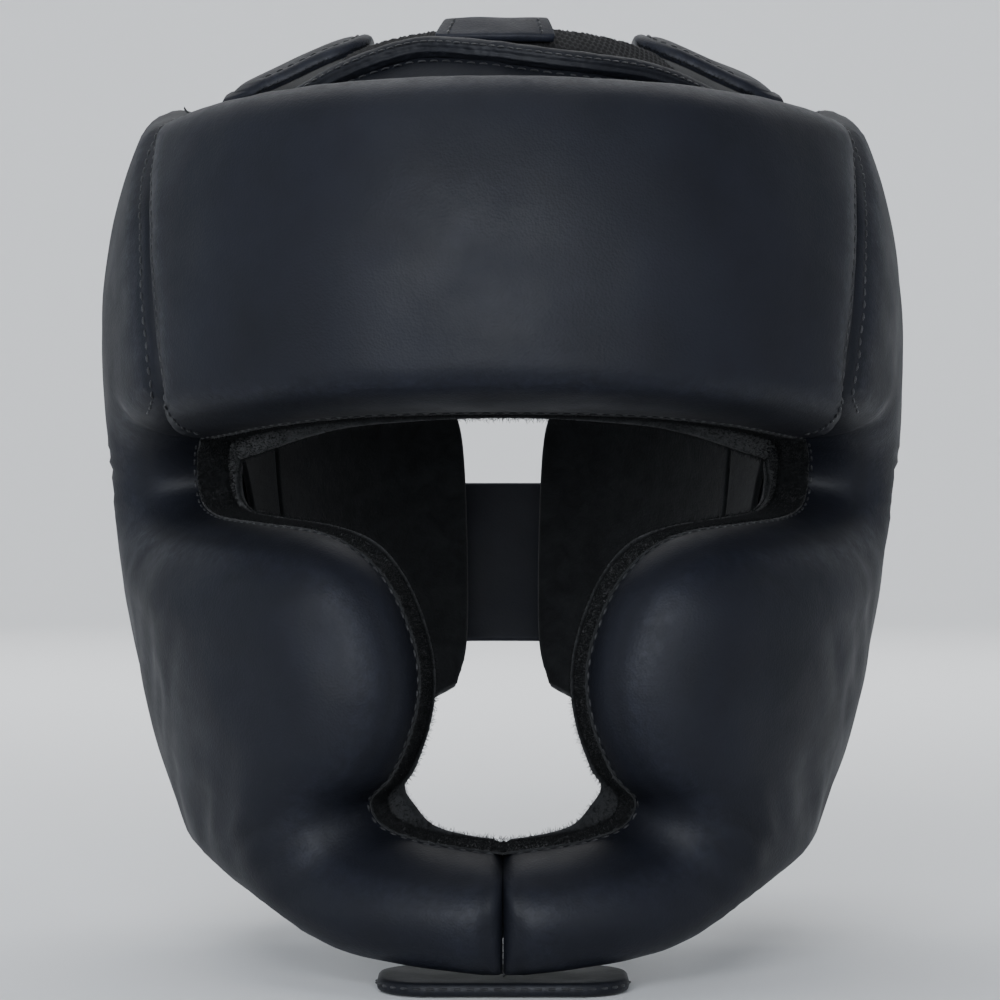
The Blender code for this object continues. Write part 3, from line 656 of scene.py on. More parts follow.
def plate(name, loops, low, high, look, place=on_form, metric=FORM, grid=PLATE_GRID,
          rounding=0.9, relief=None, rings=None):
    """A closed sheet between two heights, with rounded edges and relief on its outer face."""
    rings = (0.2, 0.6, 1.3) if rings is None else rings
    patch = Patch(loops, grid, rings, metric)
    lower, upper = at_height(low, patch), at_height(high, patch)
    radius = np.minimum(rounding, (upper - lower) * 0.48)
    left = 1 - np.clip(patch.clear / radius, 0, 1)
    drop = radius * (1 - np.sqrt(1 - left ** 2))
    top = upper - drop + (relief(patch) if relief else 0)
    count = len(patch.uv)
    faces = [list(face) for face in patch.faces]
    faces += [[i + count for i in reversed(face)] for face in patch.faces]
    faces += [[a + count, b + count, b, a] for a, b in patch.rim_edges]
    points = np.vstack([place(patch.uv, top), place(patch.uv, lower + drop)])
    wear = np.tile(np.exp(-(patch.clear / 1.2) ** 2), 2)
    return build(name, points, faces, look, wear=wear, crease=0 * wear)


def ripple(points, size, seed):
    """Smooth noise between about -1 and 1 at points in millimetres."""
    shift = Vector((17.3 * seed, 9.1 * seed, 4.7 * seed))
    return np.array([noise.noise(Vector(p) / size + shift) for p in points])


def rumpled(*waves):
    """Relief for a plate: waves, each given as its depth, size and seed."""
    def relief(patch):
        here = on_form(patch.uv, 0)
        return sum(depth * ripple(here, size, seed) for depth, size, seed in waves)
    return relief


def tube(rings):
    """The points and faces of a closed tube round rings of points."""
    sides, last = len(rings[0]), len(rings) - 1
    faces = [[k * sides + i, k * sides + (i + 1) % sides,
              (k + 1) * sides + (i + 1) % sides, (k + 1) * sides + i]
             for k in range(last) for i in range(sides)]
    faces += [list(range(sides))[::-1], [last * sides + i for i in range(sides)]]
    return np.vstack(rings), faces


# ---------------------------------------------------------------- pads

class Pad:
    """The outer surface of one pad: the drawn height, its swell and its fine relief."""

    def __init__(self, edges, holes, thickness, seed, creases=()):
        self.edges, self.holes, self.thickness = edges, holes, thickness
        self.seed, self.creases = seed, creases
        self.loops = [joined(edges)] + [inset_loop(hole.samples[:-1], GAP) for hole in holes]
        self.tree = None

    def drawn(self, uv):
        """The drawn height, the distance to the nearest edge and how far along that one."""
        here = on_form(uv, 0)
        drops, away, along = zip(*[edge.drop(here, self.thickness)
                                   for edge in self.edges + self.holes])
        height = self.thickness - sum(drop ** 4 for drop in drops) ** 0.25
        away, along = np.array(away), np.array(along)
        nearest = away.argmin(axis=0)
        rows = np.arange(len(uv))
        return height, away[nearest, rows], along[nearest, rows] + 400 * nearest

    def swell(self):
        """Runs the cover as cloth, grown a little and blown out, and keeps how far it rose."""
        patch = Patch(self.loops, SIM_GRID, (1.6, 4.0))
        height = self.drawn(patch.uv)[0]
        rest = on_form(patch.uv, height)
        base = on_form(patch.uv, height - 1)
        item = build("sim", rest, patch.faces, "leather")
        used = sorted({i for face in patch.faces for i in face})
        pins = item.vertex_groups.new(name="pins")
        hold = np.clip(1 - (patch.clear - 1.0) / 9.0, 0, 1) ** 1.5
        for index, source in enumerate(used):
            pins.add([index], float(hold[source]), "REPLACE")
        cloth = item.modifiers.new("Cloth", "CLOTH")
        cloth.point_cache.frame_start, cloth.point_cache.frame_end = 1, SIM_FRAMES
        for setting, value in CLOTH.items():
            setattr(cloth.settings, setting, value)
        cloth.settings.effector_weights.gravity = 0
        cloth.collision_settings.use_collision = False
        scene = bpy.context.scene
        for step in range(1, SIM_FRAMES + 1):
            scene.frame_set(step)
        evaluated = item.evaluated_get(bpy.context.evaluated_depsgraph_get())
        after = np.array([v.co for v in evaluated.data.vertices], float) / MM
        moved = after - rest[used]
        outward = (moved * (rest - base)[used]).sum(axis=1)
        self.rise = SWELL_CAP * np.tanh(outward / SWELL_CAP)
        self.rise -= np.mean(self.rise[hold[used] == 0]) * (1 - hold[used])
        self.tree = kdtree.KDTree(len(used))
        for index, source in enumerate(used):
            self.tree.insert((*patch.flat[source], 0), index)
        self.tree.balance()
        bpy.data.objects.remove(item, do_unlink=True)
        scene.frame_set(1)

    def risen(self, uv):
        if self.tree is None:
            return np.zeros(len(uv))
        found = np.zeros(len(uv))
        for row, place in enumerate(uv[:, :2] * FORM):
            near = self.tree.find_n((*place, 0), 7)
            weights = np.exp(-(np.array([n[2] for n in near]) / (0.6 * SIM_GRID)) ** 2) + 1e-9
            found[row] = (weights * self.rise[[n[1] for n in near]]).sum() / weights.sum()
        return found

    def surface(self, uv):
        """Heights with all the relief, the wear share and the share of painted shade."""
        height, away, along = self.drawn(uv)
        here = on_form(uv, height)
        soft = np.clip(away / 12, 0, 1)
        height = height + self.risen(uv)
        height = height + soft * (0.75 * ripple(here, 38, self.seed)
                                  + 0.30 * ripple(here, 15, self.seed + 3))
        phase = np.stack([along, 0 * along, 0 * along + self.seed], axis=1)
        pucker = ripple(phase, 5.5, self.seed + 5) * np.exp(-((away - 5) / 4.0) ** 2)
        groove = np.exp(-((away - SEAM_ROW) / 0.9) ** 2)
        height = height + 0.45 * pucker - 0.40 * groove
        # Painted shade: darker in the stitch groove, right at the pad's edge and along each crease
        # below.
        crease = 0.5 * groove + 0.8 * np.exp(-(away / 1.0) ** 2)
        for start, end, depth, width in self.creases:
            line = np.array([start, end], float) * FORM
            bow = np.array([(line[0] + line[1]) / 2 + (0.0, 0.8)])
            line = np.vstack([line[:1], bow, line[1:]])
            distance, segment, share = nearest_on(uv[:, :2] * FORM, line)
            run = (segment + share) / 2
            fade = np.clip(4 * run, 0, 1) * np.clip(3 * (1 - run), 0, 1)
            dip = fade * np.exp(-(distance / width) ** 2)
            swell = fade * np.exp(-((distance - 2 * width) / width) ** 2)
            height = height - depth * dip + 0.45 * depth * swell
            crease = crease + 0.5 * dip
        wear = np.exp(-((away - 6.5) / 2.5) ** 2)
        return height, wear, np.clip(crease, 0, 1)

    def points(self, uv):
        return on_form(uv, self.surface(uv)[0])

    def wall_row(self, strands, samples, above_wall=None):
        """Stitches along the side wall, low on it or a little above its top."""
        line = resampled(samples[:, :3], 1.0)
        heights = WALL_ROW if above_wall is None else line[:, 2] + above_wall
        wall = on_form(line, heights)
        outward = wall - on_form(inset_line(line, 1.0), heights)
        travelled = travel(wall)
        stops = np.arange(STITCH_PITCH, travelled[-1] - STITCH_PITCH / 2, STITCH_PITCH)
        spots, out = (read_off(part, travelled, stops) for part in (wall, outward))
        out = unit(out)
        strands.stitches(spots - STITCH_SINK * out, unit(np.gradient(spots, axis=0)), out)

    def cover(self, name):
        """The closed leather cover, with its foot turned under and painted shade on its walls and
        underside.
        """
        patch = Patch(self.loops, PAD_GRID, PAD_RINGS)
        height, wear, crease = self.surface(patch.uv)
        rim = patch.rim_count
        rows, shades = [on_form(patch.uv, height)], [crease]
        index_rows = [list(range(rim))]
        total = len(patch.uv)
        for share in WALL_ROWS:
            level = height[:rim] * share
            under = TUCK * (1 - np.sqrt(1 - np.clip(1 - level / TUCK, 0, 1) ** 2))
            turned, first = [], 0
            for loop in self.loops:
                last = first + len(loop)
                turned.append(inset_loop(loop, under[first:last]))
                first = last
            uv = np.vstack(turned)
            rows.append(on_form(uv, level))
            # Painted shade: the side walls are painted darker.
            shades.append(np.full(rim, 0.6))
            index_rows.append(list(range(total, total + rim)))
            total += rim
        floor = Patch(turned, 9.0)
        base = len(floor.uv) - rim
        rows.append(on_form(floor.uv[rim:], 0))
        # Painted shade: the underside is painted darkest.
        shades.append(np.full(base, 1.0))
        floor_index = index_rows[-1] + list(range(total, total + base))
        faces = [list(face) for face in patch.faces]
        for upper, lower in zip(index_rows, index_rows[1:]):
            faces += [[lower[a], lower[b], upper[b], upper[a]] for a, b in patch.rim_edges]
        faces += [[floor_index[i] for i in reversed(face)] for face in floor.faces]
        shade = np.concatenate(shades)
        rub = np.concatenate([wear, np.zeros(len(shade) - len(wear))])
        return build(name, np.vstack(rows), faces, "leather", wear=rub, crease=shade)

    def foam(self, name):
        """The foam block inside the cover."""
        loops = [cleared(inset_loop(loop, FOAM_INSET), loop, FOAM_INSET) for loop in self.loops]
        height = lambda patch: np.maximum(self.drawn(patch.uv)[0] - FOAM_INSET, 1.5)
        return plate(name, loops, 0.6, height, "foam", grid=6.0, rounding=1.5)

    def made(self, name, body, fill):
        """The swollen cover, and the foam block on its body."""
        self.swell()
        cover = self.cover(name + "_leather")
        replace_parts(cover, name + "_cover")
        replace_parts(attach(self.foam(name + "_foam_block"), body), name + "_foam")
        return cover


# ---------------------------------------------------------------- thread and fibres

class Strands:
    """Many small closed threads or hairs that become one piece."""

    def __init__(self):
        self.points, self.faces, self.count = [], [], 0

    def add(self, points, faces):
        self.points.append(points)
        self.faces += [[i + self.count for i in face] for face in faces]
        self.count += len(points)

    def stitches(self, centres, aheads, outs, length=STITCH_LENGTH, radius=STITCH_RADIUS):
        for centre, ahead, out in zip(centres, aheads, outs):
            self.stitch(centre, ahead, out, length, radius)

    def stitch(self, centre, ahead, out, length, radius):
        """One stitch that dips into the leather at both ends."""
        side = np.cross(ahead, out)
        shape = ((-1.0, -0.9, 0.15), (-0.8, -0.15, 0.75), (-0.4, 0.35, 1.0), (0.0, 0.5, 1.0),
                 (0.4, 0.35, 1.0), (0.8, -0.15, 0.75), (1.0, -0.9, 0.15))
        turns = np.linspace(0, 2 * math.pi, 6, endpoint=False)
        rings = []
        for along, lift, width in shape:
            middle = centre + ahead * along * length / 2 + out * lift * radius
            rings.append(middle + radius * width * (np.cos(turns)[:, None] * out
                                                    + np.sin(turns)[:, None] * side))
        self.add(*tube(rings))

    def row(self, points_of, line, metric=FORM, pitch=STITCH_PITCH, skip=0.5,
            length=STITCH_LENGTH, radius=STITCH_RADIUS):
        """A row of stitches over a surface, along a line of places on it."""
        travelled = travel(points_of(line[:, :2]))
        stops = np.arange(pitch * skip, travelled[-1] - pitch * skip, pitch)
        flat = read_off(line[:, :2] * metric, travelled, stops)
        if len(flat) < 2:
            return
        ahead = unit(np.gradient(flat, axis=0))
        left = np.stack([-ahead[:, 1], ahead[:, 0]], axis=1)
        forward, across = (points_of((flat + 0.5 * way) / metric)
                           - points_of((flat - 0.5 * way) / metric) for way in (ahead, left))
        forward = unit(forward)
        self.stitches(points_of(flat / metric), forward, unit(np.cross(forward, across)),
                      length, radius)

    def hair(self, root, tip, bend, radius):
        """One hair, thinner towards its tip."""
        axis = (tip - root) / max(np.linalg.norm(tip - root), 1e-9)
        side = np.cross(axis, (0.31, 0.57, 0.76))
        side /= np.linalg.norm(side)
        other = np.cross(axis, side)
        turns = np.linspace(0, 2 * math.pi, 3, endpoint=False)
        rings = []
        for share, width in ((0.0, 1.0), (0.5, 0.85), (1.0, 0.25)):
            middle = root + (tip - root) * share + bend * share * (1 - share)
            rings.append(middle + radius * width * (np.cos(turns)[:, None] * side
                                                    + np.sin(turns)[:, None] * other))
        self.add(*tube(rings))

    def mesh(self, name, look):
        return build(name, np.vstack(self.points), self.faces, look)

    def made(self, name, look, body):
        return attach(self.mesh(name, look), body)


def fuzz(strands, roots, outward, rng, length, radius=0.06, spread=0.9):
    """Hairs from the roots, roughly along the outward directions."""
    for root, out in zip(roots, outward):
        lean = out + spread * rng.normal(size=3)
        lean /= np.linalg.norm(lean)
        reach = length * rng.uniform(0.5, 1.2)
        strands.hair(root, root + lean * reach, 0.5 * reach * rng.normal(size=3), radius)


# ---------------------------------------------------------------- the padded shell

def side_edges():
    return [Edge(JAW_EDGE), Edge(NAPE_SEAM, True), Edge(TEMPLE_TOP_EDGE), Edge(TEMPLE_SEAM),
            Edge(FACE_EDGE), Edge(CHIN_SEAM)]


def ear_edge():
    loop = oval(EAR_CENTRE, EAR_HALF, 44)
    closed = np.vstack([loop, loop[:1]])
    return Edge(np.hstack([closed, np.tile((EAR_WALL, EAR_SHOULDER), (len(closed), 1))]))


def lining(name, loops, node, body, seed):
    """The suede sheet between a pad and the head, with an uneven nap."""
    item = plate(name, loops, LINING_UNDER, LINING_TOP, "suede", grid=3.4,
                 relief=rumpled((0.22, 2.6, seed), (0.3, 9, seed)))
    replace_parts(item, node)
    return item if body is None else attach(item, body)


def exposed_fuzz(strands, lining_loop, pad_loops, rng, count, rim):
    """Hairs on the lining where no pad covers it, and along its open edge."""
    low, high = lining_loop.min(axis=0), lining_loop.max(axis=0)
    spots = low + (high - low) * rng.random((count, 2))
    spots = spots[inside(spots, lining_loop)]
    for loop in pad_loops:
        spots = spots[~inside(spots, loop)]
    base = on_form(spots, LINING_TOP)
    fuzz(strands, base, on_form(spots, LINING_TOP + 1) - base, rng, 1.3)
    edge = resampled(rim, 0.16)
    middle = on_form(edge, -1.4)
    fuzz(strands, middle, on_form(inset_line(edge, -1.0), -1.0) - middle, rng, 1.4)


def facing(name, samples, strands, rng, count):
    """The suede strip that closes a pad's side wall at the face opening, and its hairs."""
    line = resampled(samples[:, :3], 0.8)
    bottom, length = LINING_TOP + 0.1, len(line)
    section = ((0.0, 0.0), (-0.45, 0.0), (-0.6, 0.12), (-0.6, 0.35), (-0.6, 0.6),
               (-0.55, 0.85), (-0.35, 1.0), (0.0, 1.0))
    rows = []
    for inset, share in section:
        level = bottom + share * (line[:, 2] + 0.3 - bottom)
        row = on_form(inset_line(line, inset), level)
        if inset < 0:
            row = row + 0.14 * np.stack([ripple(row, 1.6, seed) for seed in (71, 72, 73)], axis=1)
        rows.append(row)
    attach(build(name, *tube(np.stack(rows, axis=1)), "suede"), "shell")
    spots = rng.integers(0, length, count)
    levels = bottom + rng.random(count) * (line[spots, 2] + 0.2 - bottom)
    there = line[spots] + (line[np.minimum(spots + 1, length - 1)] - line[spots]) \
        * rng.random((count, 1))
    outer = inset_line(line, -1.0) - line[:, :2]
    roots = on_form(there[:, :2] + 0.55 * outer[spots], levels)
    tips = on_form(there[:, :2] + 1.55 * outer[spots], levels)
    fuzz(strands, roots, tips - roots, rng, 1.1)


def make_forehead():
    """The broad brow pad, its foam, lining and stitching."""
    edges = [Edge(TEMPLE_SEAM[::-1]), Edge(whole(HAIRLINE_EDGE)[::-1]),
             Edge(mirrored(TEMPLE_SEAM[::-1])), Edge(whole(BROW_EDGE[::-1]))]
    pad = Pad(edges, [], FOREHEAD_PAD, 1, FOREHEAD_CREASES)
    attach(pad.made("forehead", "shell", 0.8), "shell")
    under = Edge([(*place, 0, 0) for place in whole(LINING_BROW_EDGE[::-1])])
    corner = Edge([(*place, 0, 0) for place in LINING_SEAM[::-1]])
    loop = joined(edges[:3] + [corner.flipped(), under, corner])
    lining("forehead_suede", [loop], "forehead_lining", "shell", 11)
    thread = Strands()
    for seam in (edges[0], edges[2]):
        tall = seam.samples[seam.samples[:, 2] > SEAM_ROW_WALL]
        thread.row(pad.points, inset_line(tall, SEAM_ROW))
    pad.wall_row(thread, edges[1].samples)
    pad.wall_row(thread, edges[3].samples, FACING_ROW)
    thread.made("forehead_stitching", "thread", "shell")
    hairs, rng = Strands(), np.random.default_rng(5)
    exposed_fuzz(hairs, loop, pad.loops, rng, BROW_HAIRS, under.samples[:, :2])
    brow = edges[3].samples
    shown = brow[np.abs(brow[:, 0]) < BROW_FACING_END]
    facing("brow_suede_facing", shown, hairs, rng, BROW_FACING_HAIRS)
    hairs.made("forehead_nap", "fibre", "shell")


def make_side(side, sign):
    """A side pad with its ear opening, foam, lining and stitching."""
    edges, ear = side_edges(), ear_edge()
    under = Edge([(*place, 0, 0) for place in LINING_FACE_EDGE])
    creases = CREASES
    if sign < 0:
        creases = [((-a[0], a[1]), (-b[0], b[1]), 0.85 * depth, width * 1.1)
                   for a, b, depth, width in CREASES]
    corner = Edge([(*place, 0, 0) for place in LINING_SEAM])
    sheet = edges[:4] + [corner, under, edges[5]]
    if sign < 0:
        edges, sheet, ear, under = flip(edges), flip(sheet), ear.flipped(), under.flipped()
    pad = Pad(edges, [ear], SIDE_PAD, 2 if sign > 0 else 3, creases)
    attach(pad.made(side + "_side", "shell", 0.8), "shell")
    loop = joined(sheet)
    lining(side + "_side_suede", [loop, pad.loops[1]], side + "_side_lining", "shell", 12)
    jaw, _, top, temple, face, _ = edges if sign > 0 else edges[::-1]
    thread = Strands()
    tall = temple.samples[temple.samples[:, 2] > SEAM_ROW_WALL]
    thread.row(pad.points, inset_line(tall, SEAM_ROW))
    for edge in (jaw, top, ear):
        pad.wall_row(thread, edge.samples)
    pad.wall_row(thread, face.samples, FACING_ROW)
    thread.made(side + "_side_stitching", "thread", "shell")
    hairs, rng = Strands(), np.random.default_rng(7 + sign)
    exposed_fuzz(hairs, loop, pad.loops[:1] + [pad.loops[1][::-1]], rng, SIDE_HAIRS,
                 under.samples[:, :2])
    facing(side + "_suede_facing", face.samples, hairs, rng, SIDE_FACING_HAIRS)
    hairs.made(side + "_side_nap", "fibre", "shell")
    make_ear_cup(side, sign)


def make_ear_cup(side, sign):
    """The perforated leather shield in the ear opening."""
    inner = (EAR_HALF[0] - 2 * GAP, EAR_HALF[1] - 2 * GAP)
    loops = [oval(EAR_CENTRE, inner, 60, 1)]
    for column in (-1, 0, 1):
        for row in (-1, 0, 1):
            middle = (EAR_CENTRE[0] + column * EAR_HOLE_SPACING / ARC,
                      EAR_CENTRE[1] + row * EAR_HOLE_SPACING)
            loops.append(oval(middle, (EAR_HOLE_RADIUS,) * 2, 16))
    if sign < 0:
        loops = [loop[::-1] * (-1, 1) for loop in loops]

    def dome(patch):
        return 1.2 * np.clip(clearance(patch.flat, [loops[0] * FORM]) / 14, 0, 1)
    item = plate(side + "_ear_shield", loops, GAP, GAP + 2 * LEATHER, "trim", relief=dome,
                 grid=2.0, rounding=0.8, rings=(0.25, 0.7))
    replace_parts(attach(item, "shell"), side + "_ear_cup")


def make_wing(side, sign):
    """A rear wing: its leather, foam, lining and stitching, and the nape fold."""
    body = side + "_wing"
    edges = [Edge(WING_NAPE_EDGE), Edge(WING_BACK_EDGE), Edge(WING_TOP_EDGE),
             Edge(NAPE_SEAM[::-1], True, NAPE_CLEARANCE)]
    if sign < 0:
        edges = flip(edges)
    pad = Pad(edges, [], WING_PAD, 4 if sign > 0 else 5)
    near = form_place(sign * (NAPE + 0.5), -11, 5.0)
    far = form_place(sign * (NAPE + 8.0), -11, 8.0)
    cover = pad.made(body, body, 0.7)
    sheet = lining(body + "_suede", [joined(edges)], body + "_lining", None, 14)
    for piece in (cover, sheet):
        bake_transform(piece)
    thread = Strands()
    for edge in edges:
        if not edge.folds:
            pad.wall_row(thread, edge.samples)
    thread.made(body + "_stitching", "thread", body)
    make_nape_fold(side, sign)


def make_nape_fold(side, sign):
    """The soft leather fold that closes the nape seam between a side pad and its wing."""
    low, high = NAPE_SEAM[0][1] + 3, NAPE_SEAM[-1][1] - 3
    loop = rounded_box((sign * NAPE - 3.2, low), (sign * NAPE + 3.2, high), 2.0)

    def sag(patch):
        return 1.2 + 0.2 * np.abs(patch.uv[:, 0] - sign * NAPE) ** 2
    item = plate(side + "_nape_fold", [loop], 0.6, sag, "trim", grid=1.6)
    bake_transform(item)


def make_seam_tapes():
    """Suede tapes inside the guard, over the seams where two linings meet."""
    runs = {"chin": [(0, z) for z in (-91, -100, -109, -117)]}
    runs["left_temple"] = [place[:2] for place in TEMPLE_SEAM]
    runs["right_temple"] = mirrored(runs["left_temple"])
    for seed, (name, run) in enumerate(runs.items()):
        line = smooth([(*place, 0, 0) for place in run])[:, :2]
        loop = np.vstack([inset_line(line, -TAPE_HALF_WIDTH),
                          inset_line(line, TAPE_HALF_WIDTH)[::-1]])
        item = plate(name + "_seam_tape", [loop], LINING_UNDER - TAPE_HEIGHT, LINING_UNDER + 0.3,
                     "suede", relief=rumpled((0.15, 2.6, seed)), grid=2.4, rounding=0.5)
        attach(item, "shell")


def make_chin_stitches():
    """The thread that laces the chin seam, seen in the lower half of its valley."""
    run = smooth(CHIN_SEAM, 1.7)
    run = run[len(run) // 3:]
    thread = Strands()
    for index, (azimuth, z, wall, _) in enumerate(run[:-1]):
        lean = 1 if index % 2 else -1
        level = np.array([wall + 0.9, wall + 1.9])
        here, over = on_form(np.array([[0.3 * lean, z]] * 2), level)
        to = on_form(np.array([[-0.5 * lean, run[index + 1, 1]]]), level[:1])[0] - here
        thread.stitch(here, to / np.linalg.norm(to), over - here, FINE_LENGTH, FINE_RADIUS)
    thread.made("chin_seam_stitching", "thread", "shell")


# ---------------------------------------------------------------- rear closure

def make_rear_closure():
    """The hook-and-loop strap from wing to wing, with its stitching and tapes."""
    under = WING_PAD + TAPE_GAP
    hook_low = under + PATCH + TAPE_GAP
    strap_low = hook_low + PATCH + TAPE_GAP
    top = strap_low + STRAP
    loop = rounded_box((STRAP_SEWN, STRAP_LOW), (STRAP_FREE, STRAP_HIGH), STRAP_CORNER)

    def quilt(patch):
        groove = np.exp(-((patch.clear - 3.0) / 0.8) ** 2)
        return rumpled((0.35, 16, 21))(patch) - 0.25 * groove
    strap = plate("rear_closing_strap", [loop], strap_low, top, "leather", relief=quilt,
                  grid=2.4, rings=(0.2, 0.6, 1.3, 2.2, 3.0, 3.8))
    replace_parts(strap, "rear_strap")
    middle = (STRAP_LOW + STRAP_HIGH) / 2
    thread = Strands()
    ring = inset_loop(loop, 3.0)
    thread.row(lambda uv: on_form(uv, top - STITCH_SINK), np.vstack([ring, ring[:1]]))
    for piece in (strap, thread.mesh("rear_strap_stitching", "thread")):
        form_place(STRAP_SEWN + 0.5, middle, strap_low)
        form_place(STRAP_SEWN + 8, middle, strap_low)
        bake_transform(piece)
    low, high = STRAP_LOW + TAPE_MARGIN, STRAP_HIGH - TAPE_MARGIN
    hook, loop_tape, anchor = (rounded_box(*corners, TAPE_CORNER) for corners in (
        ((STRAP_FREE - TAPE_REACH, low), (STRAP_FREE - 2, high)),
        ((STRAP_FREE - TAPE_REACH, STRAP_LOW), (STRAP_FREE + 4, STRAP_HIGH)),
        ((STRAP_SEWN + 1, low), (STRAP_SEWN + 9, high))))

    def knobs(patch):
        return 0.18 * np.cos(patch.flat[:, 0] * 3.1) * np.cos(patch.flat[:, 1] * 3.1)
    for name, outline, low, high, look, node, body in (
            ("hook_tape", hook, hook_low, hook_low + PATCH, "hook", "rear_hook_tape",
             "rear_closure"),
            ("loop_tape", loop_tape, under, under + PATCH, "loop", "rear_loop_tape",
             "right_wing"),
            ("strap_anchor", anchor, under, strap_low - TAPE_GAP, "trim",
             "rear_strap_anchor", "left_wing")):
        item = plate(name, [outline], low, high, look, grid=0.9 if look != "trim" else 2.0,
                     rounding=0.4, relief=knobs if look != "trim" else None, rings=(0.2, 0.5))
        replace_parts(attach(item, body), node)


# ---------------------------------------------------------------- crown

def make_binding():
    """The rolled binding above the brow: grained leather rolled over a cord, a little wavy."""
    line = smooth(BINDING_LINE, 0.8)
    lift = BINDING_RADIUS + GAP
    middle = on_form(line, lift)
    middle += 0.35 * np.stack([ripple(middle, 22, seed) for seed in (31, 32, 33)], axis=1)
    ahead = unit(np.gradient(middle, axis=0))
    side = unit(np.cross(ahead, on_form(line, lift + 1) - on_form(line, lift)))
    out = np.cross(side, ahead)
    strips = []
    for turn in np.linspace(0, 2 * math.pi, 44, endpoint=False):
        spoke = math.cos(turn) * out + math.sin(turn) * side
        rough = 0.05 + 0.24 * max(0.0, math.sin(turn + 0.1)) ** 0.7
        bulge = 0.16 * ripple(middle + BINDING_RADIUS * spoke, 5, 34) \
            + rough * ripple(middle + BINDING_RADIUS * spoke, 1.1, 35)
        groove = 0.40 * math.exp(-((turn - math.pi * 0.34) / 0.12) ** 2)
        piping = 0.45 * math.exp(-((turn - math.pi * 0.45) / 0.13) ** 2)
        strips.append(middle + (BINDING_RADIUS - 0.25 - groove + piping + bulge)[:, None] * spoke)
    points, faces = tube(np.stack(strips, axis=1))
    item = build("crown_rolled_binding", points, faces, "trim",
                 wear=np.full(len(points), 0.5), crease=np.zeros(len(points)))
    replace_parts(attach(item, "shell"), "crown_binding")
    thread = Strands()
    spoke = math.cos(BINDING_ROW) * out + math.sin(BINDING_ROW) * side
    row = middle + spoke * (BINDING_RADIUS - STITCH_SINK)
    thread.stitches(*(part[4:-4:4] for part in (row, ahead, spoke)), FINE_LENGTH, FINE_RADIUS)
    thread.made("binding_stitching", "thread", "shell")


def make_crown_front():
    """The recessed panel above the brow pad, and the coarse webbing behind the binding."""
    foot = smooth([(a, z + PANEL_FOOT) for a, z, *_ in whole(HAIRLINE_EDGE[:-1])])
    head = smooth([(a, z - PANEL_HEAD) for a, z in BINDING_LINE[-2:0:-1]])
    loop = np.vstack([foot, head])
    panel = plate("crown_panel", [loop], CROWN_REST, CROWN_REST + LEATHER, "trim", grid=1.8,
                  relief=rumpled((0.5, 17, 41), (0.25, 6, 42)))
    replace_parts(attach(panel, "shell"), "crown_front_panel")
    foot = smooth(whole(WEBBING_FOOT[::-1]))
    head = smooth(whole(WEBBING_TOP[::-1])[::-1])
    item = plate("crown_cross_webbing", [np.vstack([foot, head])], CROWN_REST,
                 CROWN_REST + WEBBING, "webbing", relief=weave, grid=0.55, rounding=0.6,
                 rings=(0.3,))
    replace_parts(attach(item, "shell"), "crown_webbing")
    thread = Strands()
    thread.row(lambda uv: on_form(uv, CROWN_REST + LEATHER + 0.1),
               smooth([(a, z - PANEL_HEAD - 2) for a, z in BINDING_LINE[1:-1]]))
    thread.made("crown_panel_stitching", "thread", "shell")


def weave(patch):
    """Raised diagonal ribs of coarse webbing."""
    x, y = patch.flat[:, 0], patch.flat[:, 1]
    over = np.sin(2.3 * x + 1.9 * y) * np.cos(1.15 * x - 2.0 * y)
    return 0.38 * over * np.clip(patch.clear / 0.8, 0, 1)


def make_crown_tab():
    """The keeper around the middle of the webbing, with raw cut sides and two stitched rows."""
    left, right = (math.degrees(math.atan((TAB_CENTRE + half) / TAB_DEPTH))
                   for half in (-TAB_WIDTH / 2, TAB_WIDTH / 2))
    loop = rounded_box((left, TAB_LOW), (right, TAB_HIGH), 1.0)
    lower = CROWN_REST + WEBBING + 3 * GAP
    top = lower + 2 * LEATHER
    item = plate("crown_keeper_tab", [loop], lower, top, "leather", grid=1.0, rounding=0.5,
                 relief=rumpled((0.3, 9, 51)))
    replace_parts(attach(item, "shell"), "crown_tab")
    thread = Strands()
    margin = 3.2 / ARC * 1.6
    for azimuth in (left + margin, right - margin):
        column = np.array([(azimuth, z) for z in np.linspace(TAB_LOW + 0.4, TAB_HIGH - 0.4, 12)])
        thread.row(lambda uv: on_form(uv, top), column, pitch=2.6, length=2.0, skip=0.4)
    thread.made("tab_stitching", "thread", "shell")


def flap_place(sign):
    """Where a crown flap's points lie: uv are distances from the middle and along Y."""
    profile = smooth(sorted(FLAP_PROFILE), 1.0, (1, 1))

    def place(uv, height):
        away, along = np.abs(uv[:, 0]), uv[:, 1]
        z = np.interp(away, profile[:, 0], profile[:, 1]) - FLAP_SAG * along ** 2
        step = 1.0
        slope = (np.interp(away + step, profile[:, 0], profile[:, 1])
                 - np.interp(away - step, profile[:, 0], profile[:, 1])) / (2 * step)
        norm = np.sqrt(1 + slope ** 2)
        return np.stack([sign * (away - slope / norm * height), along, z + height / norm],
                        axis=1)
    return place


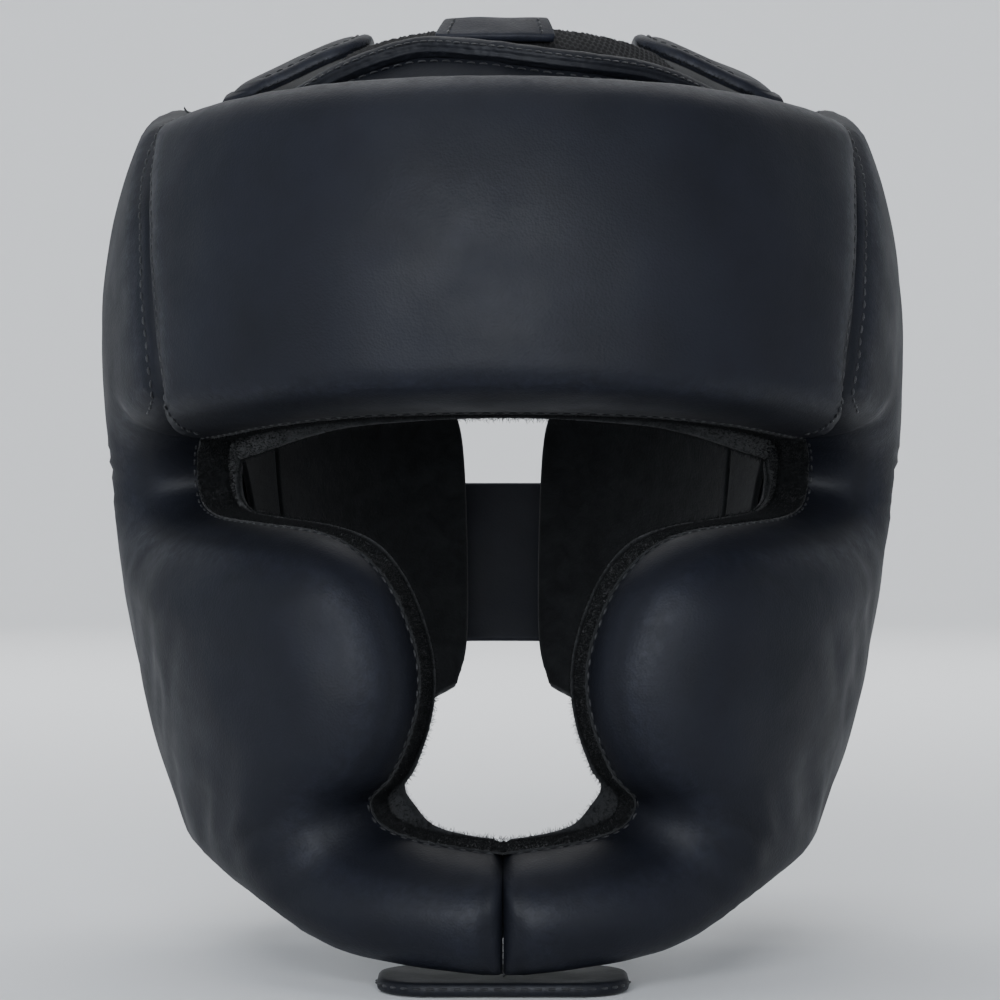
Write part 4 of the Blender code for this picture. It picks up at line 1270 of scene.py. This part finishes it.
def make_crown_flap(side, sign):
    """A soft flap from the side pad's top over the crown, with a raw fuzzy front edge."""
    low = (FLAP_PROFILE[-1][0], FLAP_FRONT)
    high = (FLAP_PROFILE[0][0], FLAP_REAR)
    loop = rounded_box(low, high, FLAP_CORNER, (1, 1), 1.6)
    loop[loop[:, 0] > high[0] - FLAP_CORNER, 0] = high[0]
    if sign < 0:
        loop = loop[::-1] * (-1, 1)
    place = flap_place(sign)

    def puff(patch):
        here = place(patch.uv, 0)
        soft = np.clip(patch.clear / 7, 0, 1)
        groove = np.exp(-((patch.clear - 3.4) / 0.8) ** 2)
        return soft * (0.8 + 0.7 * ripple(here, 14, 61 + sign)) - 0.45 * groove
    item = plate(side + "_crown_flap_leather", [loop], 0.0, FLAP_THICKNESS, "leather",
                 place=place, metric=(1, 1), grid=1.8, rounding=1.8, relief=puff,
                 rings=(0.2, 0.7, 1.4, 2.4, 3.2, 4.0))
    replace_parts(item, side + "_crown_flap")
    thread = Strands()
    ring = inset_loop(loop, 3.4, (1, 1))
    free = ring[np.abs(ring[:, 0]) < high[0] - 6]
    shift = int(np.argmax(np.linalg.norm(np.diff(np.vstack([free, free[:1]]), axis=0), axis=1)))
    free = np.roll(free, -shift - 1, axis=0)
    thread.row(lambda uv: place(uv, FLAP_THICKNESS + 0.1), free, (1, 1))
    hairs = Strands()
    rng = np.random.default_rng(71 + sign)
    rim = refined(loop[loop[:, 1] < FLAP_FRONT + 9], (1, 1), 0.12)
    rim = rim[rim[:, 1] < FLAP_FRONT + 9]
    fuzz(hairs, place(rim, FLAP_THICKNESS * 0.35), np.tile((0, -1.0, -0.1), (len(rim), 1)),
         rng, 1.5)
    for piece in (item, thread.mesh(side + "_flap_stitching", "thread"),
                  hairs.mesh(side + "_flap_nap", "fibre")):
        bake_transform(piece)


def make_flap_root(side, sign):
    """The leather that joins a flap to the top of its side pad."""
    place = flap_place(sign)
    along = np.linspace(FLAP_FRONT + 2, FLAP_REAR - 1, 40)
    base = place(np.stack([0 * along + sign * FLAP_PROFILE[0][0] - sign * 3, along], axis=1), 1.2)
    rim = on_form(smooth(TEMPLE_TOP_EDGE, 1.0)[:, :2] * (sign, 1), 0)
    rim = rim[np.argsort(rim[:, 1])]
    foot = read_off(rim, rim[:, 1], along)
    foot[:, 1] = along
    rows = [base * (1 - share) + foot * share - np.array([sign * 4.0 * share * (1 - share), 0, 0])
            for share in np.linspace(0, 1, 14)]
    grid = np.array(rows)
    grid[..., 0] += sign * 0.5 * ripple(grid.reshape(-1, 3), 7, 81).reshape(grid.shape[:2])
    outer = grid.reshape(-1, 3)
    inner = (grid - np.array([sign * 1.2, 0, -0.6])).reshape(-1, 3)
    columns, count = len(along), len(outer)
    quads = [[r * columns + c, r * columns + c + 1, (r + 1) * columns + c + 1,
              (r + 1) * columns + c] for r in range(len(rows) - 1) for c in range(columns - 1)]
    faces = quads + [[i + count for i in reversed(quad)] for quad in quads]
    ring = [c for c in range(columns)] \
        + [r * columns + columns - 1 for r in range(1, len(rows))] \
        + [(len(rows) - 1) * columns + c for c in range(columns - 2, -1, -1)] \
        + [r * columns for r in range(len(rows) - 2, 0, -1)]
    faces += [[b, a, a + count, b + count] for a, b in zip(ring, ring[1:] + ring[:1])]
    # Painted shade: the whole flap root is painted a little darker.
    item = build(side + "_flap_root", np.vstack([outer, inner]), faces, "leather",
                 wear=np.zeros(2 * count), crease=np.full(2 * count, 0.3))
    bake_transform(item)


def make_rear_band():
    """The webbing band behind the head, above the wings."""
    start = BAND_START - BAND_SEWN
    loop = rounded_box((start, BAND_LOW), (360 - start, BAND_HIGH), 3)
    item = plate("rear_crown_webbing", [loop], CROWN_REST, CROWN_REST + WEBBING, "webbing",
                 relief=weave, grid=0.8, rounding=0.7, rings=(0.3,))
    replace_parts(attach(item, "shell"), "rear_crown_band")


# ---------------------------------------------------------------- chin

def make_chin_gusset():
    """The stitched panel that closes the chin cup underneath."""
    loop = rounded_box((-GUSSET_HALF_WIDTH, GUSSET_FRONT), (GUSSET_HALF_WIDTH, GUSSET_REAR),
                       GUSSET_CORNER, (1, 1))

    def place(uv, height):
        return np.stack([uv[:, 0], uv[:, 1], height + 0 * uv[:, 0]], axis=1)
    item = plate("chin_gusset_leather", [loop], GUSSET_BOTTOM, GUSSET_TOP, "trim",
                 place=place, metric=(1, 1), grid=2.4, rounding=1.4,
                 rings=(0.2, 0.7, 1.4, 2.6))
    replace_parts(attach(item, "shell"), "chin_gusset")
    thread = Strands()
    front = loop[loop[:, 1] < (GUSSET_FRONT + GUSSET_REAR) / 2]
    rim = place(front[np.argsort(front[:, 0])], (GUSSET_TOP + GUSSET_BOTTOM) / 2 + 0.3)
    travelled = travel(rim)
    line = read_off(rim, travelled, np.arange(2, travelled[-1] - 2, STITCH_PITCH))
    ahead = unit(np.gradient(line, axis=0))
    thread.stitches(line, ahead, np.cross(ahead, (0, 0, 1)), 2.3)
    thread.made("gusset_stitching", "thread", "shell")


# ---------------------------------------------------------------- stage

def area_light(name, place, size, energy, colour, target):
    lamp = bpy.data.lights.new(name, "AREA")
    lamp.shape = "RECTANGLE"
    lamp.size, lamp.size_y = size
    lamp.energy, lamp.color = energy, colour
    item = bpy.data.objects.new(name, lamp)
    item.location = place
    item.rotation_euler = (Vector(target) - Vector(place)).to_track_quat("-Z", "Y").to_euler()
    bpy.context.scene.collection.objects.link(item)


def make_stage():
    """A pale round floor that curves up all round, soft lights and the camera."""
    floor_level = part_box("chin_gusset")[0].z - 0.0004
    profile = [(FLOOR_START, 0.0), (1.5, 0.0), (FLOOR_FLAT, 0.0)]
    profile += [(FLOOR_FLAT + math.sin(math.radians(a)), 1 - math.cos(math.radians(a)))
                for a in range(6, 91, 6)] + [(FLOOR_FLAT + 1, WALL_TOP)]
    sides = FLOOR_SIDES
    verts = [(r * math.cos(2 * math.pi * k / sides), r * math.sin(2 * math.pi * k / sides),
              floor_level + z) for r, z in profile for k in range(sides)]
    faces = [(i * sides + k, (i + 1) * sides + k, (i + 1) * sides + (k + 1) % sides,
              i * sides + (k + 1) % sides) for i in range(len(profile) - 1) for k in range(sides)]
    faces.append(tuple(range(sides)))
    mesh = bpy.data.meshes.new("backdrop")
    mesh.from_pydata(verts, [], faces)
    mesh.shade_smooth()
    mesh.materials.append(stage_material(PAPER_TONE))
    paper = bpy.data.objects.new("backdrop", mesh)
    bpy.context.scene.collection.objects.link(paper)
    for light in LIGHTS:
        area_light(*light)
    world = bpy.data.worlds.new("studio")
    world.use_nodes = True
    sky = world.node_tree.nodes["Background"].inputs
    sky["Color"].default_value, sky["Strength"].default_value = WORLD_TONE, WORLD_STRENGTH
    bpy.context.scene.world = world
    lens = bpy.data.cameras.new("camera")
    lens.lens, lens.sensor_width, lens.shift_x = LENS, SENSOR, LENS_SHIFT
    camera = bpy.data.objects.new("camera", lens)
    camera.location = CAMERA_PLACE
    camera.rotation_euler = (math.radians(90), 0, 0)
    bpy.context.scene.collection.objects.link(camera)
    bpy.context.scene.camera = camera


make_forehead()
for side, sign in SIDES:
    make_side(side, sign)
    make_wing(side, sign)
    make_crown_flap(side, sign)
    make_flap_root(side, sign)
make_seam_tapes()
make_chin_stitches()
make_rear_closure()
make_binding()
make_crown_front()
make_crown_tab()
make_rear_band()
make_chin_gusset()
make_stage()
